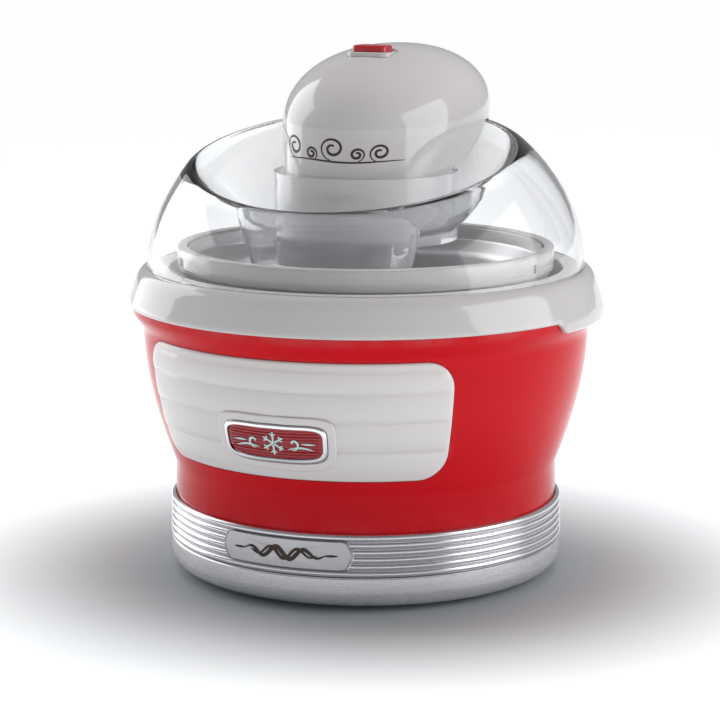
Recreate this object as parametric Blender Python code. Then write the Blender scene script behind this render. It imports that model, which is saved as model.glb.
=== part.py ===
"""Ice cream maker: a table-top machine with a freezer bowl, a turning paddle, a clear lid and a motor unit.

Frame: metres, +Z up, front towards -Y, origin on the table under the vertical axis of the paddle.
"""

import math

import bmesh
import bpy
from mathutils import Matrix, Vector

MM = 0.001
GAP = 0.3 * MM  # air between pieces that touch on the real machine

# --- driving dimensions ------------------------------------------------------------------------
SEGMENTS = 36  # flats round a large turned piece
TABLE_Z = 0.0

# silver base
FOOT_RADIUS = 8 * MM
FOOT_CIRCLE = 70 * MM
SKIRT_RADIUS = 76 * MM  # of the bowl seat's skirt, and of the circle of screws
TRAY_BOTTOM_Z = 2.6 * MM
TRAY_TOP_Z = 17.3 * MM
TRAY_RADIUS = 95.4 * MM
BAND_BOTTOM_Z = TRAY_TOP_Z + GAP
BAND_TOP_Z = 37.8 * MM
BAND_RADIUS = 95.9 * MM
BAND_RIBS = 6
NAME_PLATE_HALF_ANGLE = math.radians(20)
NAME_PLATE_LOW_Z = 21.0 * MM
NAME_PLATE_HIGH_Z = 34.6 * MM

# red body
NECK_RADIUS = 93.0 * MM
NECK_TOP_Z = 54.5 * MM
BODY_RADIUS = 107.8 * MM
BODY_TOP_Z = 120 * MM
BODY_CURVE = 1.8  # power of the curve from the neck to the widest part
FLANGE_RADIUS = 113.2 * MM
FLANGE_Z = 131.2 * MM
WALL = 2.4 * MM
PANEL_HALF_ANGLE = math.radians(45.3)
PANEL_LOW_Z = 63 * MM
PANEL_HIGH_Z = 119.6 * MM
PANEL_RIBS = 4
BADGE_HALF_WIDTH = 25 * MM
BADGE_HALF_HEIGHT = 9.3 * MM
BADGE_Z = 81.6 * MM

# white collar ring round the top of the body
RING_RADIUS = 114.8 * MM
RING_LOW_Z = FLANGE_Z + GAP
RING_HIGH_Z = 149 * MM
TAB_HALF_ANGLE = math.radians(16)
TAB_DEPTH = 5.0 * MM

# freezer bowl
BOWL_BASE_Z = 41.2 * MM
BOWL_OUTER_LOW = 80 * MM
BOWL_OUTER_HIGH = 89 * MM
BOWL_INNER_LOW = 68 * MM
BOWL_INNER_HIGH = 78 * MM
BOWL_FLOOR_Z = 56 * MM
RIM_RADIUS = 91 * MM
RIM_INNER_RADIUS = 86 * MM
RIM_LOW_Z = 148.6 * MM
RIM_HIGH_Z = 159.2 * MM

# clear lid
LID_RADIUS = 105.8 * MM
LID_BASE_Z = RING_HIGH_Z + GAP
LID_WALL = 2.4 * MM
DOME_HEIGHT = 87 * MM  # of the whole dome that the crater is sunk into
CREST_HALF_WIDTH = 80 * MM  # the crest is the ridge of the lid, round its sloping crater
CREST_HALF_LENGTH = 68.3 * MM
CREST_Y = -10 * MM
CREST_Z = 205.2 * MM
CREST_SLOPE = 0.27
CREST_BEND = 0.57  # the crest climbs this many metres per square metre of x
CREST_BOW = 6 * MM  # its sides come this far forward
CRATER_Z = 174 * MM  # the crater's floor where it meets the motor well
CRATER_SLOPE = 0.83
CRATER_LOWEST_Z = 168 * MM
WELL_RADIUS = 42 * MM
WELL_WALL = 2.3 * MM
WELL_FLOOR_Z = 162 * MM
COLLAR_TOP_Z = 194.5 * MM
CHUTE_TOP_Z = 190 * MM
CHUTE_LOW_Z = 153 * MM
CHUTE_TOP = (0.047, 0.033, -0.043)  # half width, half depth and centre y of the chute's mouth
CHUTE_LOW = (0.038, 0.025, -0.0405)

# motor unit
MOTOR_LOW_Z = 165.2 * MM
MOTOR_RADIUS = 39.4 * MM
FLARE_LOW_Z = 193 * MM  # the round barrel flares from here to the egg's shoulder
EGG_HALF_WIDTH = 47.4 * MM
EGG_HALF_LENGTH = 65.6 * MM
EGG_Y = 26.4 * MM
EGG_TOP_Y = 37 * MM
EGG_SHOULDER_Z = 219 * MM
EGG_TOP_Z = 253.4 * MM
EGG_FULLNESS = 0.92  # 1 is an ellipse, and less is fuller at the shoulder
SHELL = 2.4 * MM
BUTTON_Y = 8 * MM
BUTTON_SIZE = (17.6 * MM, 12.0 * MM)
BUTTON_LOW_Z = 246 * MM
BUTTON_TOP_Z = 254.3 * MM
BEZEL_TOP_Z = 250.8 * MM

# gear train
MODULE = 1.0 * MM
OUTPUT_TEETH = 36
IDLER_SMALL_TEETH = 10
IDLER_LARGE_TEETH = 24
PINION_TEETH = 10
IDLER_Y = MODULE * (OUTPUT_TEETH + IDLER_SMALL_TEETH) / 2
MOTOR_Y = IDLER_Y - MODULE * (IDLER_LARGE_TEETH + PINION_TEETH) / 2
GEAR_LOW_Z = 171.5 * MM
GEAR_WIDTH = 6 * MM
UPPER_GEAR_Z = 179.5 * MM
UPPER_GEAR_WIDTH = 5 * MM
PLATE_Z = 187 * MM
SHAFT_RADIUS = 4 * MM
SHAFT_LOW_Z = 140 * MM
DRIVE_SQUARE = 7.0 * MM  # across the flats of the shaft's lower end


# --- materials ---------------------------------------------------------------------------------
PAINTS = {
    "red_gloss": ((0.62, 0.012, 0.015), 0.15, 0.0),
    "white_gloss": ((0.80, 0.78, 0.75), 0.2, 0.0),
    "clear_plastic": ((0.85, 0.88, 0.90), 0.05, 0.0),
    "silver_plastic": ((0.62, 0.61, 0.62), 0.3, 0.8),
    "chrome": ((0.75, 0.75, 0.77), 0.08, 1.0),
    "aluminium": ((0.45, 0.45, 0.45), 0.35, 1.0),
    "white_matte": ((0.82, 0.82, 0.80), 0.45, 0.0),
    "mint_print": ((0.66, 0.84, 0.80), 0.4, 0.0),
    "rubber": ((0.55, 0.53, 0.49), 0.8, 0.0),
    "steel": ((0.5, 0.5, 0.52), 0.3, 1.0),
    "gear_nylon": ((0.85, 0.83, 0.76), 0.4, 0.0),
    "coolant": ((0.35, 0.55, 0.75), 0.4, 0.0),
    "black_plastic": ((0.03, 0.03, 0.03), 0.5, 0.0),
    "brass": ((0.72, 0.52, 0.2), 0.3, 1.0),
}


def paint(name):
    """The Principled material of that name, made when first asked for."""
    found = bpy.data.materials.get(name)
    if found:
        return found
    colour, roughness, metallic = PAINTS[name]
    made = bpy.data.materials.new(name)
    made.use_nodes = True
    shader = made.node_tree.nodes["Principled BSDF"]
    shader.inputs["Base Color"].default_value = (*colour, 1)
    shader.inputs["Roughness"].default_value = roughness
    shader.inputs["Metallic"].default_value = metallic
    if name == "clear_plastic":
        shader.inputs["Transmission Weight"].default_value = 1.0
    return made


# --- modelling helpers ---------------------------------------------------------------------------
def add(name, bm, material=None, smooth=True):
    """Closes up a bmesh into a named object. With no material it is a cutter, which isn't shown."""
    bmesh.ops.remove_doubles(bm, verts=bm.verts, dist=1e-6)
    loose = [edge for edge in bm.edges if not edge.link_faces]
    bmesh.ops.delete(bm, geom=loose, context="EDGES")
    bmesh.ops.triangulate(bm, faces=bm.faces)
    bmesh.ops.recalc_face_normals(bm, faces=bm.faces)
    mesh = bpy.data.meshes.new(name)
    bm.to_mesh(mesh)
    bm.free()
    obj = bpy.data.objects.new(name, mesh)
    bpy.context.scene.collection.objects.link(obj)
    if material:
        mesh.materials.append(paint(material))
        if smooth:
            mesh.shade_smooth()
            mesh.set_sharp_from_angle(angle=math.radians(35))
    else:
        obj.hide_render = True
        obj.display_type = "WIRE"
    return obj


def turned(name, profile, material=None, steps=SEGMENTS):
    """A piece turned about Z from a closed (radius, z) outline, which may touch the axis."""
    bm = bmesh.new()
    points = [bm.verts.new((r, 0, z)) for r, z in profile]
    edges = [bm.edges.new((a, b)) for a, b in zip(points, points[1:] + points[:1])]
    bmesh.ops.spin(
        bm, geom=points + edges, cent=(0, 0, 0), axis=(0, 0, 1), angle=math.tau, steps=steps, use_merge=True
    )
    return add(name, bm, material)


def lofted(name, loops, material=None, ring=False):
    """A skin over loops of equal length: capped at both ends, or joined last to first if ring is set."""
    bm = bmesh.new()
    rows = [[bm.verts.new(p) for p in loop] for loop in loops]
    count = len(rows[0])
    pairs = list(zip(rows, rows[1:] + rows[:1])) if ring else list(zip(rows, rows[1:]))
    for low, high in pairs:
        for i in range(count):
            j = (i + 1) % count
            bm.faces.new((low[i], low[j], high[j], high[i]))
    if not ring:
        bm.faces.new(rows[0])
        bm.faces.new(rows[-1])
    return add(name, bm, material)


def prism(name, outline, low, high, material=None):
    """An outline of (x, y) points raised from z = low to z = high."""
    return lofted(name, [[(x, y, z) for x, y in outline] for z in (low, high)], material)


def boolean(target, operation, *others):
    """Joins, cuts or intersects the target with each of the other objects."""
    for other in others:
        modifier = target.modifiers.new(other.name, "BOOLEAN")
        modifier.operation = operation
        modifier.object = other
    return target


def shifted(loops, depth):
    """The same loops moved in by a depth, at right angles to the surface they describe."""
    moved = []
    last = len(loops) - 1
    for i, loop in enumerate(loops):
        below, above = loops[max(i - 1, 0)], loops[min(i + 1, last)]
        count = len(loop)
        row = []
        for j, point in enumerate(loop):
            along = Vector(loop[(j + 1) % count]) - Vector(loop[j - 1])
            across = Vector(above[j]) - Vector(below[j])
            row.append(tuple(Vector(point) - along.cross(across).normalized() * depth))
        moved.append(row)
    return moved


def circle(radius, z, steps=SEGMENTS, centre=(0, 0)):
    """A level loop, its first point at the front and turning towards the right."""
    turns = [math.tau * i / steps for i in range(steps)]
    return [(centre[0] + radius * math.sin(a), centre[1] - radius * math.cos(a), z) for a in turns]


def ellipse(half_width, half_depth, y, z, steps=SEGMENTS):
    turns = [math.tau * i / steps for i in range(steps)]
    return [(half_width * math.sin(a), y - half_depth * math.cos(a), z) for a in turns]


def rounded_rectangle(width, depth, corner, centre=(0, 0), corner_steps=4):
    """Points of a rectangle with round corners, anticlockwise seen from above."""
    points = []
    for quarter, (sx, sy) in enumerate(((1, 1), (-1, 1), (-1, -1), (1, -1))):
        middle = Vector((sx * (width / 2 - corner), sy * (depth / 2 - corner)))
        for step in range(corner_steps + 1):
            a = math.pi / 2 * (quarter + step / corner_steps)
            points.append(
                (centre[0] + middle.x + corner * math.cos(a), centre[1] + middle.y + corner * math.sin(a))
            )
    return points


def on_cylinder(angle, radius, z):
    """The point at an angle from the front, positive towards the right."""
    return (radius * math.sin(angle), -radius * math.cos(angle), z)


def wrapped_patch(name, half_angle, low, high, surface, proud, sunk, corner, material, across=24, up=16):
    """A plate wrapped on the body: it stands proud of surface(z) and ends sunk below it.

    proud(angle, z) is a height above the surface. The outline has round corners of the given share.
    """
    outline_rows = []
    for j in range(up + 1):
        z = low + (high - low) * j / up
        edge = min(z - low, high - z)
        inset = 0.0
        if edge < corner:
            inset = corner - math.sqrt(max(corner**2 - (corner - edge) ** 2, 0.0))
        reach = half_angle - inset / surface(z)
        outline_rows.append((z, reach))
    bm = bmesh.new()
    grids = []
    for layer in range(2):
        grid = []
        for z, reach in outline_rows:
            row = []
            for i in range(across + 1):
                angle = reach * (2 * i / across - 1)
                lift = proud(angle, z) if layer else -sunk
                row.append(bm.verts.new(on_cylinder(angle, surface(z) + lift, z)))
            grid.append(row)
        grids.append(grid)
    for grid in grids:
        for a, b in zip(grid, grid[1:]):
            for i in range(across):
                bm.faces.new((a[i], a[i + 1], b[i + 1], b[i]))
    back, front = grids
    for i in range(across):
        bm.faces.new((back[0][i], back[0][i + 1], front[0][i + 1], front[0][i]))
        bm.faces.new((back[-1][i], back[-1][i + 1], front[-1][i + 1], front[-1][i]))
    for j in range(up):
        bm.faces.new((back[j][0], back[j + 1][0], front[j + 1][0], front[j][0]))
        bm.faces.new((back[j][-1], back[j + 1][-1], front[j + 1][-1], front[j][-1]))
    return add(name, bm, material)


# --- silver base -------------------------------------------------------------------------------
def tray_profile():
    """Half section of the base tray: a floor, a round lower edge and a spigot that the body sits on."""
    edge = 8.0 * MM
    middle = (TRAY_RADIUS - edge, TRAY_BOTTOM_Z + edge)
    arc = [
        (middle[0] + edge * math.sin(a), middle[1] - edge * math.cos(a))
        for a in [math.pi / 2 * i / 5 for i in range(6)]
    ]
    spigot = 88 * MM
    return (
        [(0, TRAY_BOTTOM_Z), (60 * MM, TRAY_BOTTOM_Z)]
        + arc
        + [
            (TRAY_RADIUS, TRAY_TOP_Z),
            (spigot + 2 * MM, TRAY_TOP_Z),
            (spigot + 2 * MM, TRAY_TOP_Z + 9 * MM),
            (spigot, TRAY_TOP_Z + 9 * MM),
            (spigot, TRAY_TOP_Z - 2 * MM),
            (spigot - 6 * MM, TRAY_BOTTOM_Z + 2.6 * MM),
            (0, TRAY_BOTTOM_Z + 2.6 * MM),
        ]
    )


def band_radius(z):
    """Outside of the ribbed band: six round ribs over its height."""
    share = (z - BAND_BOTTOM_Z) / (BAND_TOP_Z - BAND_BOTTOM_Z) * BAND_RIBS
    groove = 1 - abs(math.sin(math.pi * share)) ** 0.6
    return BAND_RADIUS - 0.9 * MM * groove - 0.5 * MM * (share / BAND_RIBS)


def make_base():
    turned("base_tray", tray_profile(), "silver_plastic")
    steps = BAND_RIBS * 2
    heights = [BAND_BOTTOM_Z + (BAND_TOP_Z - BAND_BOTTOM_Z) * i / steps for i in range(steps + 1)]
    inner = NECK_RADIUS + GAP
    band = [(band_radius(z), z) for z in heights]
    turned("base_band", [(inner, BAND_BOTTOM_Z)] + band + [(inner, BAND_TOP_Z)], "silver_plastic")
    boolean(
        bpy.data.objects["base_band"],
        "DIFFERENCE",
        wrapped_patch(
            "name_plate_recess",
            NAME_PLATE_HALF_ANGLE + GAP / BAND_RADIUS,
            NAME_PLATE_LOW_Z - GAP,
            NAME_PLATE_HIGH_Z + GAP,
            lambda z: BAND_RADIUS,
            lambda angle, z: 3 * MM,
            1.3 * MM,
            0.1 * MM,
            None,
            across=10,
            up=2,
        ),
    )
    wrapped_patch(
        "name_plate",
        NAME_PLATE_HALF_ANGLE,
        NAME_PLATE_LOW_Z,
        NAME_PLATE_HIGH_Z,
        lambda z: BAND_RADIUS,
        lambda angle, z: 0.3 * MM,
        1.0 * MM,
        0.1 * MM,
        "silver_plastic",
        across=10,
        up=3,
    )
    tray = bpy.data.objects["base_tray"]
    for place, quarter in (("front", 0), ("right", 1), ("rear", 2), ("left", 3)):
        angle = quarter * math.pi / 2
        x, y, _ = on_cylinder(angle, FOOT_CIRCLE, 0)
        pocket_ends = (0, TRAY_BOTTOM_Z + 1.2 * MM)
        pocket = lofted(f"pocket_{place}", [circle(FOOT_RADIUS + GAP, z, 16) for z in pocket_ends])
        foot = turned(
            f"foot_{place}",
            [
                (0, TABLE_Z),
                (FOOT_RADIUS - 1.5 * MM, TABLE_Z),
                (FOOT_RADIUS, TABLE_Z + 1.5 * MM),
                (FOOT_RADIUS, TRAY_BOTTOM_Z + 1.2 * MM - GAP),
                (0, TRAY_BOTTOM_Z + 1.2 * MM - GAP),
            ],
            "rubber",
            16,
        )
        for obj in (pocket, foot):
            obj.location = (x, y, 0)
            obj.rotation_euler = (0, 0, 0.08)
        boolean(tray, "DIFFERENCE", pocket)
    for number in range(4):
        angle = math.pi / 4 + number * math.pi / 2
        x, y, _ = on_cylinder(angle, SKIRT_RADIUS, 0)
        hole = lofted(f"screw_hole_{number}", [circle(1.8 * MM, z, 8) for z in (0, 20 * MM)])
        profile = screw_profile(TRAY_BOTTOM_Z - 2.2 * MM, 14 * MM, 3.4 * MM)
        screw = turned(f"base_screw_{number + 1}", profile, "steel", 10)
        for obj in (hole, screw):
            obj.location = (x, y, 0)
        boolean(tray, "DIFFERENCE", hole)


def screw_profile(head_z, length, head_radius, shank_radius=1.5 * MM):
    """A pan-head screw pointing up, its head's face at head_z."""
    head = 1.9 * MM
    return [
        (0, head_z),
        (head_radius, head_z),
        (head_radius, head_z + head),
        (shank_radius, head_z + head),
        (shank_radius, head_z + length),
        (0, head_z + length + shank_radius),
    ]


# --- body ----------------------------------------------------------------------------------------
def body_radius(z):
    """Outside of the red body: a straight neck, then a curve out to the widest part."""
    if z <= NECK_TOP_Z:
        return NECK_RADIUS
    share = max(BODY_TOP_Z - z, 0) / (BODY_TOP_Z - NECK_TOP_Z)
    return BODY_RADIUS - (BODY_RADIUS - NECK_RADIUS) * share**BODY_CURVE


def make_body():
    low = TRAY_TOP_Z + GAP
    heights = [NECK_TOP_Z + (BODY_TOP_Z - NECK_TOP_Z) * i / 8 for i in range(9)]
    outer = [(body_radius(z), z) for z in heights]
    flange = [(BODY_RADIUS + 3 * MM, 124.5 * MM), (FLANGE_RADIUS, 128.5 * MM), (FLANGE_RADIUS, FLANGE_Z)]
    inner = [(r - WALL, z) for r, z in reversed(outer)]
    profile = (
        [(NECK_RADIUS, low)]
        + outer
        + flange
        + [(BODY_RADIUS - WALL, FLANGE_Z)]
        + inner
        + [(NECK_RADIUS - WALL, low)]
    )
    shell = turned("body_shell", profile, "red_gloss")
    recess = wrapped_patch(
        "panel_recess",
        PANEL_HALF_ANGLE + GAP / BODY_RADIUS,
        PANEL_LOW_Z - GAP,
        PANEL_HIGH_Z + GAP,
        body_radius,
        lambda angle, z: 3 * MM,
        0.9 * MM,
        13 * MM,
        None,
        across=14,
        up=12,
    )
    boolean(shell, "DIFFERENCE", recess)
    make_liner()


def make_liner():
    """The white well that the freezer bowl stands in, on a skirt with four screw bosses."""
    outer, inner = NECK_RADIUS - WALL - 0.6 * MM, NECK_RADIUS - WALL - 2.6 * MM
    foot_z = TRAY_BOTTOM_Z + 3 * MM
    liner = turned(
        "bowl_seat",
        [
            (0, 38.6 * MM),
            (SKIRT_RADIUS - 1.2 * MM, 38.6 * MM),
            (SKIRT_RADIUS - 1.2 * MM, foot_z),
            (SKIRT_RADIUS + 1.2 * MM, foot_z),
            (SKIRT_RADIUS + 1.2 * MM, 38.6 * MM),
            (outer - 1 * MM, 38.6 * MM),
            (outer, 40 * MM),
            (outer, 56 * MM),
            (97 * MM, 118 * MM),
            (97 * MM, FLANGE_Z - 2 * MM),
            (94.6 * MM, FLANGE_Z - 2 * MM),
            (94.6 * MM, 118 * MM),
            (inner, 57 * MM),
            (inner, 41 * MM),
            (0, 41 * MM - GAP),
        ],
        "white_matte",
    )
    for number in range(4):
        angle = math.pi / 4 + number * math.pi / 2
        x, y, _ = on_cylinder(angle, SKIRT_RADIUS, 0)
        boss = lofted(f"boss_{number}", [circle(4 * MM, z, 10) for z in (foot_z, 39.6 * MM)])
        hole = lofted(f"boss_hole_{number}", [circle(1.8 * MM, z, 8) for z in (0, 24 * MM)])
        for obj in (boss, hole):
            obj.location = (x, y, 0)
        boolean(liner, "UNION", boss)
        boolean(liner, "DIFFERENCE", hole)


def panel_lift(angle, z):
    """The white front panel bulges in four level ribs and stands 1.6 mm proud."""
    share = (z - PANEL_LOW_Z) / (PANEL_HIGH_Z - PANEL_LOW_Z) * PANEL_RIBS
    edge = min(z - PANEL_LOW_Z, PANEL_HIGH_Z - z) / (2 * MM)
    side = (PANEL_HALF_ANGLE - abs(angle)) * BODY_RADIUS / (2 * MM)
    rib = 0.55 + 0.45 * abs(math.sin(math.pi * share))
    return 0.2 * MM + 1.1 * MM * max(min(1, edge, side), 0) ** 0.5 * rib


def badge_outline(half_width, half_height, bow):
    """A badge shape in (x, z): flat top and bottom that bow out a little, and rounder ends."""
    points = []
    for a in [math.tau * (i + 0.5) / 28 for i in range(28)]:
        c, s = math.cos(a), math.sin(a)
        x = half_width * math.copysign(abs(c) ** 0.42, c)
        z = half_height * math.copysign(abs(s) ** 0.5, s)
        points.append((x, z - bow * (1 - (x / half_width) ** 2)))
    return points


def wrapped_layer(name, outline, middle_z, back, front, material=None):
    """A plate that follows the body, between two heights above its surface.

    The outline is (distance round the body, height) about (0, middle_z), and its middle sees all of it.
    """
    loops = []
    for share, lift in ((0.04, back), (0.5, back), (1, back), (1, front), (0.5, front), (0.04, front)):
        loop = []
        for arc, height in outline:
            z = middle_z + height * share
            loop.append(on_cylinder(arc * share / body_radius(middle_z), body_radius(z) + lift, z))
        loops.append(loop)
    return lofted(name, loops, material)


def badge_layer(name, spread, back, front, material=None):
    outline = badge_outline(BADGE_HALF_WIDTH + spread, BADGE_HALF_HEIGHT + spread, 0.8 * MM)
    return wrapped_layer(name, outline, BADGE_Z, back, front, material)


def make_badge():
    panel = wrapped_patch(
        "front_panel",
        PANEL_HALF_ANGLE,
        PANEL_LOW_Z,
        PANEL_HIGH_Z,
        body_radius,
        panel_lift,
        0.6 * MM,
        13 * MM,
        "white_gloss",
        across=14,
        up=12,
    )
    boolean(panel, "UNION", badge_layer("badge_surround", 4 * MM, 0, 2.6 * MM))
    boolean(panel, "DIFFERENCE", badge_layer("badge_pocket", GAP, 0.7 * MM, 6 * MM))
    bezel = badge_layer("badge_bezel", 0, 1 * MM, 3.6 * MM, "chrome")
    boolean(bezel, "DIFFERENCE", badge_layer("badge_window", -1.8 * MM, 1.7 * MM, 6 * MM))
    badge_layer("badge_plate", -1.8 * MM - GAP, 2 * MM, 3 * MM, "red_gloss")
    make_emblem()


def make_emblem():
    """A flat crystal in front of the badge plate, leaning with the body's surface."""
    middle = BADGE_Z - 0.5 * MM
    lean = math.atan2(body_radius(middle + 1 * MM) - body_radius(middle - 1 * MM), 2 * MM)
    emblem = prism("badge_emblem", crystal_outline(), 0, 0.8 * MM, "mint_print")
    emblem.rotation_euler = (math.pi / 2 + lean, 0, 0)
    emblem.location = (0, -body_radius(middle) - 3.5 * MM, middle)


def crystal_outline():
    """A plain six-armed snow crystal in (x, z)."""
    points = []
    for arm in range(6):
        for radius, degrees in ((1.6, -24), (3.2, -9), (4.0, -17), (5.9, 0), (4.0, 17), (3.2, 9)):
            a = math.radians(arm * 60 + 90 + degrees)
            points.append((radius * MM * math.cos(a), radius * MM * math.sin(a)))
    return points


# --- collar ring -----------------------------------------------------------------------------------
def ring_profile():
    seat = 95.2 * MM
    return [
        (FLANGE_RADIUS - 9 * MM, RING_LOW_Z),
        (RING_RADIUS, RING_LOW_Z),
        (RING_RADIUS, RING_LOW_Z + 2 * MM),
        (112.4 * MM, 141 * MM),
        (111 * MM, 145 * MM),
        (108.6 * MM, 148 * MM),
        (106.8 * MM, RING_HIGH_Z),
        (seat, RING_HIGH_Z),
        (seat, RING_LOW_Z - 1.2 * MM),
        (seat + 3 * MM, RING_LOW_Z - 1.2 * MM),
        (seat + 3 * MM, RING_HIGH_Z - 3 * MM),
        (105 * MM, RING_HIGH_Z - 3 * MM),
        (109 * MM, 141 * MM),
        (110.6 * MM, RING_LOW_Z + 2.5 * MM),
        (FLANGE_RADIUS - 9 * MM, RING_LOW_Z + 2.5 * MM),
    ]


def make_ring():
    """The white ring, with a deeper skirt on each side where the hands lift the machine."""
    ring = turned("collar_ring", ring_profile(), "white_gloss")
    for side, middle in (("right", math.pi / 2), ("left", -math.pi / 2)):
        steps = 8
        rows = []
        for i in range(steps + 1):
            angle = middle + TAB_HALF_ANGLE * (2 * i / steps - 1)
            drop = TAB_DEPTH if 0 < i < steps else 0.4 * MM
            low = RING_LOW_Z - drop
            rows.append(
                [
                    on_cylinder(angle, r, z)
                    for r, z in (
                        (FLANGE_RADIUS + GAP, low),
                        (RING_RADIUS + 0.9 * MM, low),
                        (RING_RADIUS + 0.9 * MM, RING_LOW_Z + 3 * MM),
                        (FLANGE_RADIUS + GAP, RING_LOW_Z + 3 * MM),
                    )
                ]
            )
        boolean(ring, "UNION", lofted(f"ring_tab_{side}", rows))


# --- freezer bowl ----------------------------------------------------------------------------------
def make_bowl():
    """A double-walled bowl: an outer cup, an inner metal cup, the coolant between them and a rim."""
    wall = 1.8 * MM
    out_low, out_high = BOWL_OUTER_LOW, BOWL_OUTER_HIGH
    turned(
        "bowl_outer_wall",
        [
            (0, BOWL_BASE_Z),
            (out_low - 4 * MM, BOWL_BASE_Z),
            (out_low, BOWL_BASE_Z + 4 * MM),
            (out_high, RIM_LOW_Z - GAP),
            (out_high - wall, RIM_LOW_Z - GAP),
            (out_low - wall, BOWL_BASE_Z + 5 * MM),
            (out_low - 5 * MM, BOWL_BASE_Z + wall),
            (0, BOWL_BASE_Z + wall),
        ],
        "white_matte",
    )
    turned(
        "bowl_inner_wall",
        [
            (0, BOWL_FLOOR_Z - 1.4 * MM),
            (BOWL_INNER_LOW - 3 * MM, BOWL_FLOOR_Z - 1.4 * MM),
            (BOWL_INNER_LOW + 1.4 * MM, BOWL_FLOOR_Z + 3 * MM),
            (BOWL_INNER_HIGH + 1.4 * MM, RIM_LOW_Z - 4 * MM),
            (RIM_INNER_RADIUS - GAP, RIM_LOW_Z + 2 * MM),
            (RIM_INNER_RADIUS - GAP, RIM_HIGH_Z - 1.2 * MM),
            (RIM_INNER_RADIUS - 1.4 * MM, RIM_HIGH_Z - 1.2 * MM),
            (RIM_INNER_RADIUS - 1.4 * MM, RIM_LOW_Z + 3 * MM),
            (BOWL_INNER_HIGH, RIM_LOW_Z - 3 * MM),
            (BOWL_INNER_LOW, BOWL_FLOOR_Z + 4 * MM),
            (BOWL_INNER_LOW - 4 * MM, BOWL_FLOOR_Z),
            (0, BOWL_FLOOR_Z),
        ],
        "aluminium",
    )
    turned(
        "coolant_gel",
        [
            (0, BOWL_BASE_Z + wall + GAP),
            (out_low - 6 * MM, BOWL_BASE_Z + wall + GAP),
            (out_low - wall - GAP, BOWL_BASE_Z + 6 * MM),
            (out_high - wall - 1.3 * MM, 138 * MM),
            (BOWL_INNER_HIGH + 1.4 * MM, 138 * MM),
            (BOWL_INNER_LOW + 1.4 * MM + GAP, BOWL_FLOOR_Z + 3 * MM),
            (BOWL_INNER_LOW - 3 * MM, BOWL_FLOOR_Z - 1.4 * MM - GAP),
            (0, BOWL_FLOOR_Z - 1.4 * MM - GAP),
        ],
        "coolant",
    )
    turned(
        "bowl_rim",
        [
            (RIM_INNER_RADIUS, RIM_LOW_Z + 1.5 * MM),
            (RIM_RADIUS, RIM_LOW_Z),
            (RIM_RADIUS, RIM_HIGH_Z - 0.8 * MM),
            (RIM_RADIUS - 0.8 * MM, RIM_HIGH_Z),
            (RIM_INNER_RADIUS, RIM_HIGH_Z),
        ],
        "white_gloss",
    )
    rim = bpy.data.objects["bowl_rim"]
    for number, start in enumerate((60, 180, 300)):
        low, high = math.radians(start + 8), math.radians(start + 24)
        steps = 6
        rows = []
        for i in range(steps + 1):
            angle = low + (high - low) * i / steps
            rows.append(
                [
                    on_cylinder(angle, r, z)
                    for r, z in (
                        (RIM_RADIUS - 1 * MM, RIM_LOW_Z + 2.4 * MM),
                        (RIM_RADIUS + 2 * MM, RIM_LOW_Z + 2.4 * MM),
                        (RIM_RADIUS + 2 * MM, RIM_LOW_Z + 6.4 * MM),
                        (RIM_RADIUS - 1 * MM, RIM_LOW_Z + 6.4 * MM),
                    )
                ]
            )
        boolean(rim, "DIFFERENCE", lofted(f"bayonet_channel_{number}", rows))


def make_paddle():
    """A turning paddle: a post with a square socket, and a blade frame with an open window each side."""
    post_low, post_high = BOWL_FLOOR_Z + 1.5 * MM, 156 * MM
    post = ((7.5 * MM, post_low), (7.5 * MM, 138 * MM), (9 * MM, 142 * MM), (9 * MM, post_high))
    paddle = lofted("paddle", [circle(r, z, 20) for r, z in post], "white_matte")
    arm_height, blade_width, blade_half = 9 * MM, 8 * MM, 2 * MM
    reach = BOWL_INNER_LOW - 4 * MM
    low, high = BOWL_FLOOR_Z + 2 * MM, 128 * MM
    for side in (1, -1):
        bars = {
            "floor_arm": (2 * MM, reach, low, low + arm_height),
            "top_arm": (2 * MM, reach, high - arm_height, high),
        }
        for name, (start, end, z0, z1) in bars.items():
            corners = ((start, -1.8 * MM), (end, -1.8 * MM), (end, 1.8 * MM), (start, 1.8 * MM))
            outline = [(side * x, y) for x, y in corners]
            boolean(paddle, "UNION", prism(f"{name}_{side}", outline, z0, z1))
        lean = 2.2 * MM
        blade = []
        for z, shift in ((low - 0.4 * MM, -lean), ((low + high) / 2, 0), (high + 0.6 * MM, lean)):
            y = side * shift
            blade.append(
                [
                    (side * (reach - blade_width), y - blade_half, z),
                    (side * (reach + 1 * MM), y - blade_half - side * 0.8 * MM, z),
                    (side * (reach + 1 * MM), y + blade_half - side * 0.8 * MM, z),
                    (side * (reach - blade_width), y + blade_half, z),
                ]
            )
        boolean(paddle, "UNION", lofted(f"blade_{side}", blade))
    socket = DRIVE_SQUARE / 2 + GAP
    square = [(socket, socket), (-socket, socket), (-socket, -socket), (socket, -socket)]
    boolean(paddle, "DIFFERENCE", prism("drive_socket", square, SHAFT_LOW_Z - 2 * MM, 170 * MM))


# --- clear lid --------------------------------------------------------------------------------------
def crest_loop():
    """The ridge round the crater: an oval that slopes up to the rear and climbs a little at the sides."""
    ridge = ellipse(CREST_HALF_WIDTH, CREST_HALF_LENGTH, CREST_Y, CREST_Z)
    bowed = [(x, y - CREST_BOW * (x / CREST_HALF_WIDTH) ** 2, z) for x, y, z in ridge]
    return [(x, y, z + CREST_SLOPE * y + CREST_BEND * x**2) for x, y, z in bowed]


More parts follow.
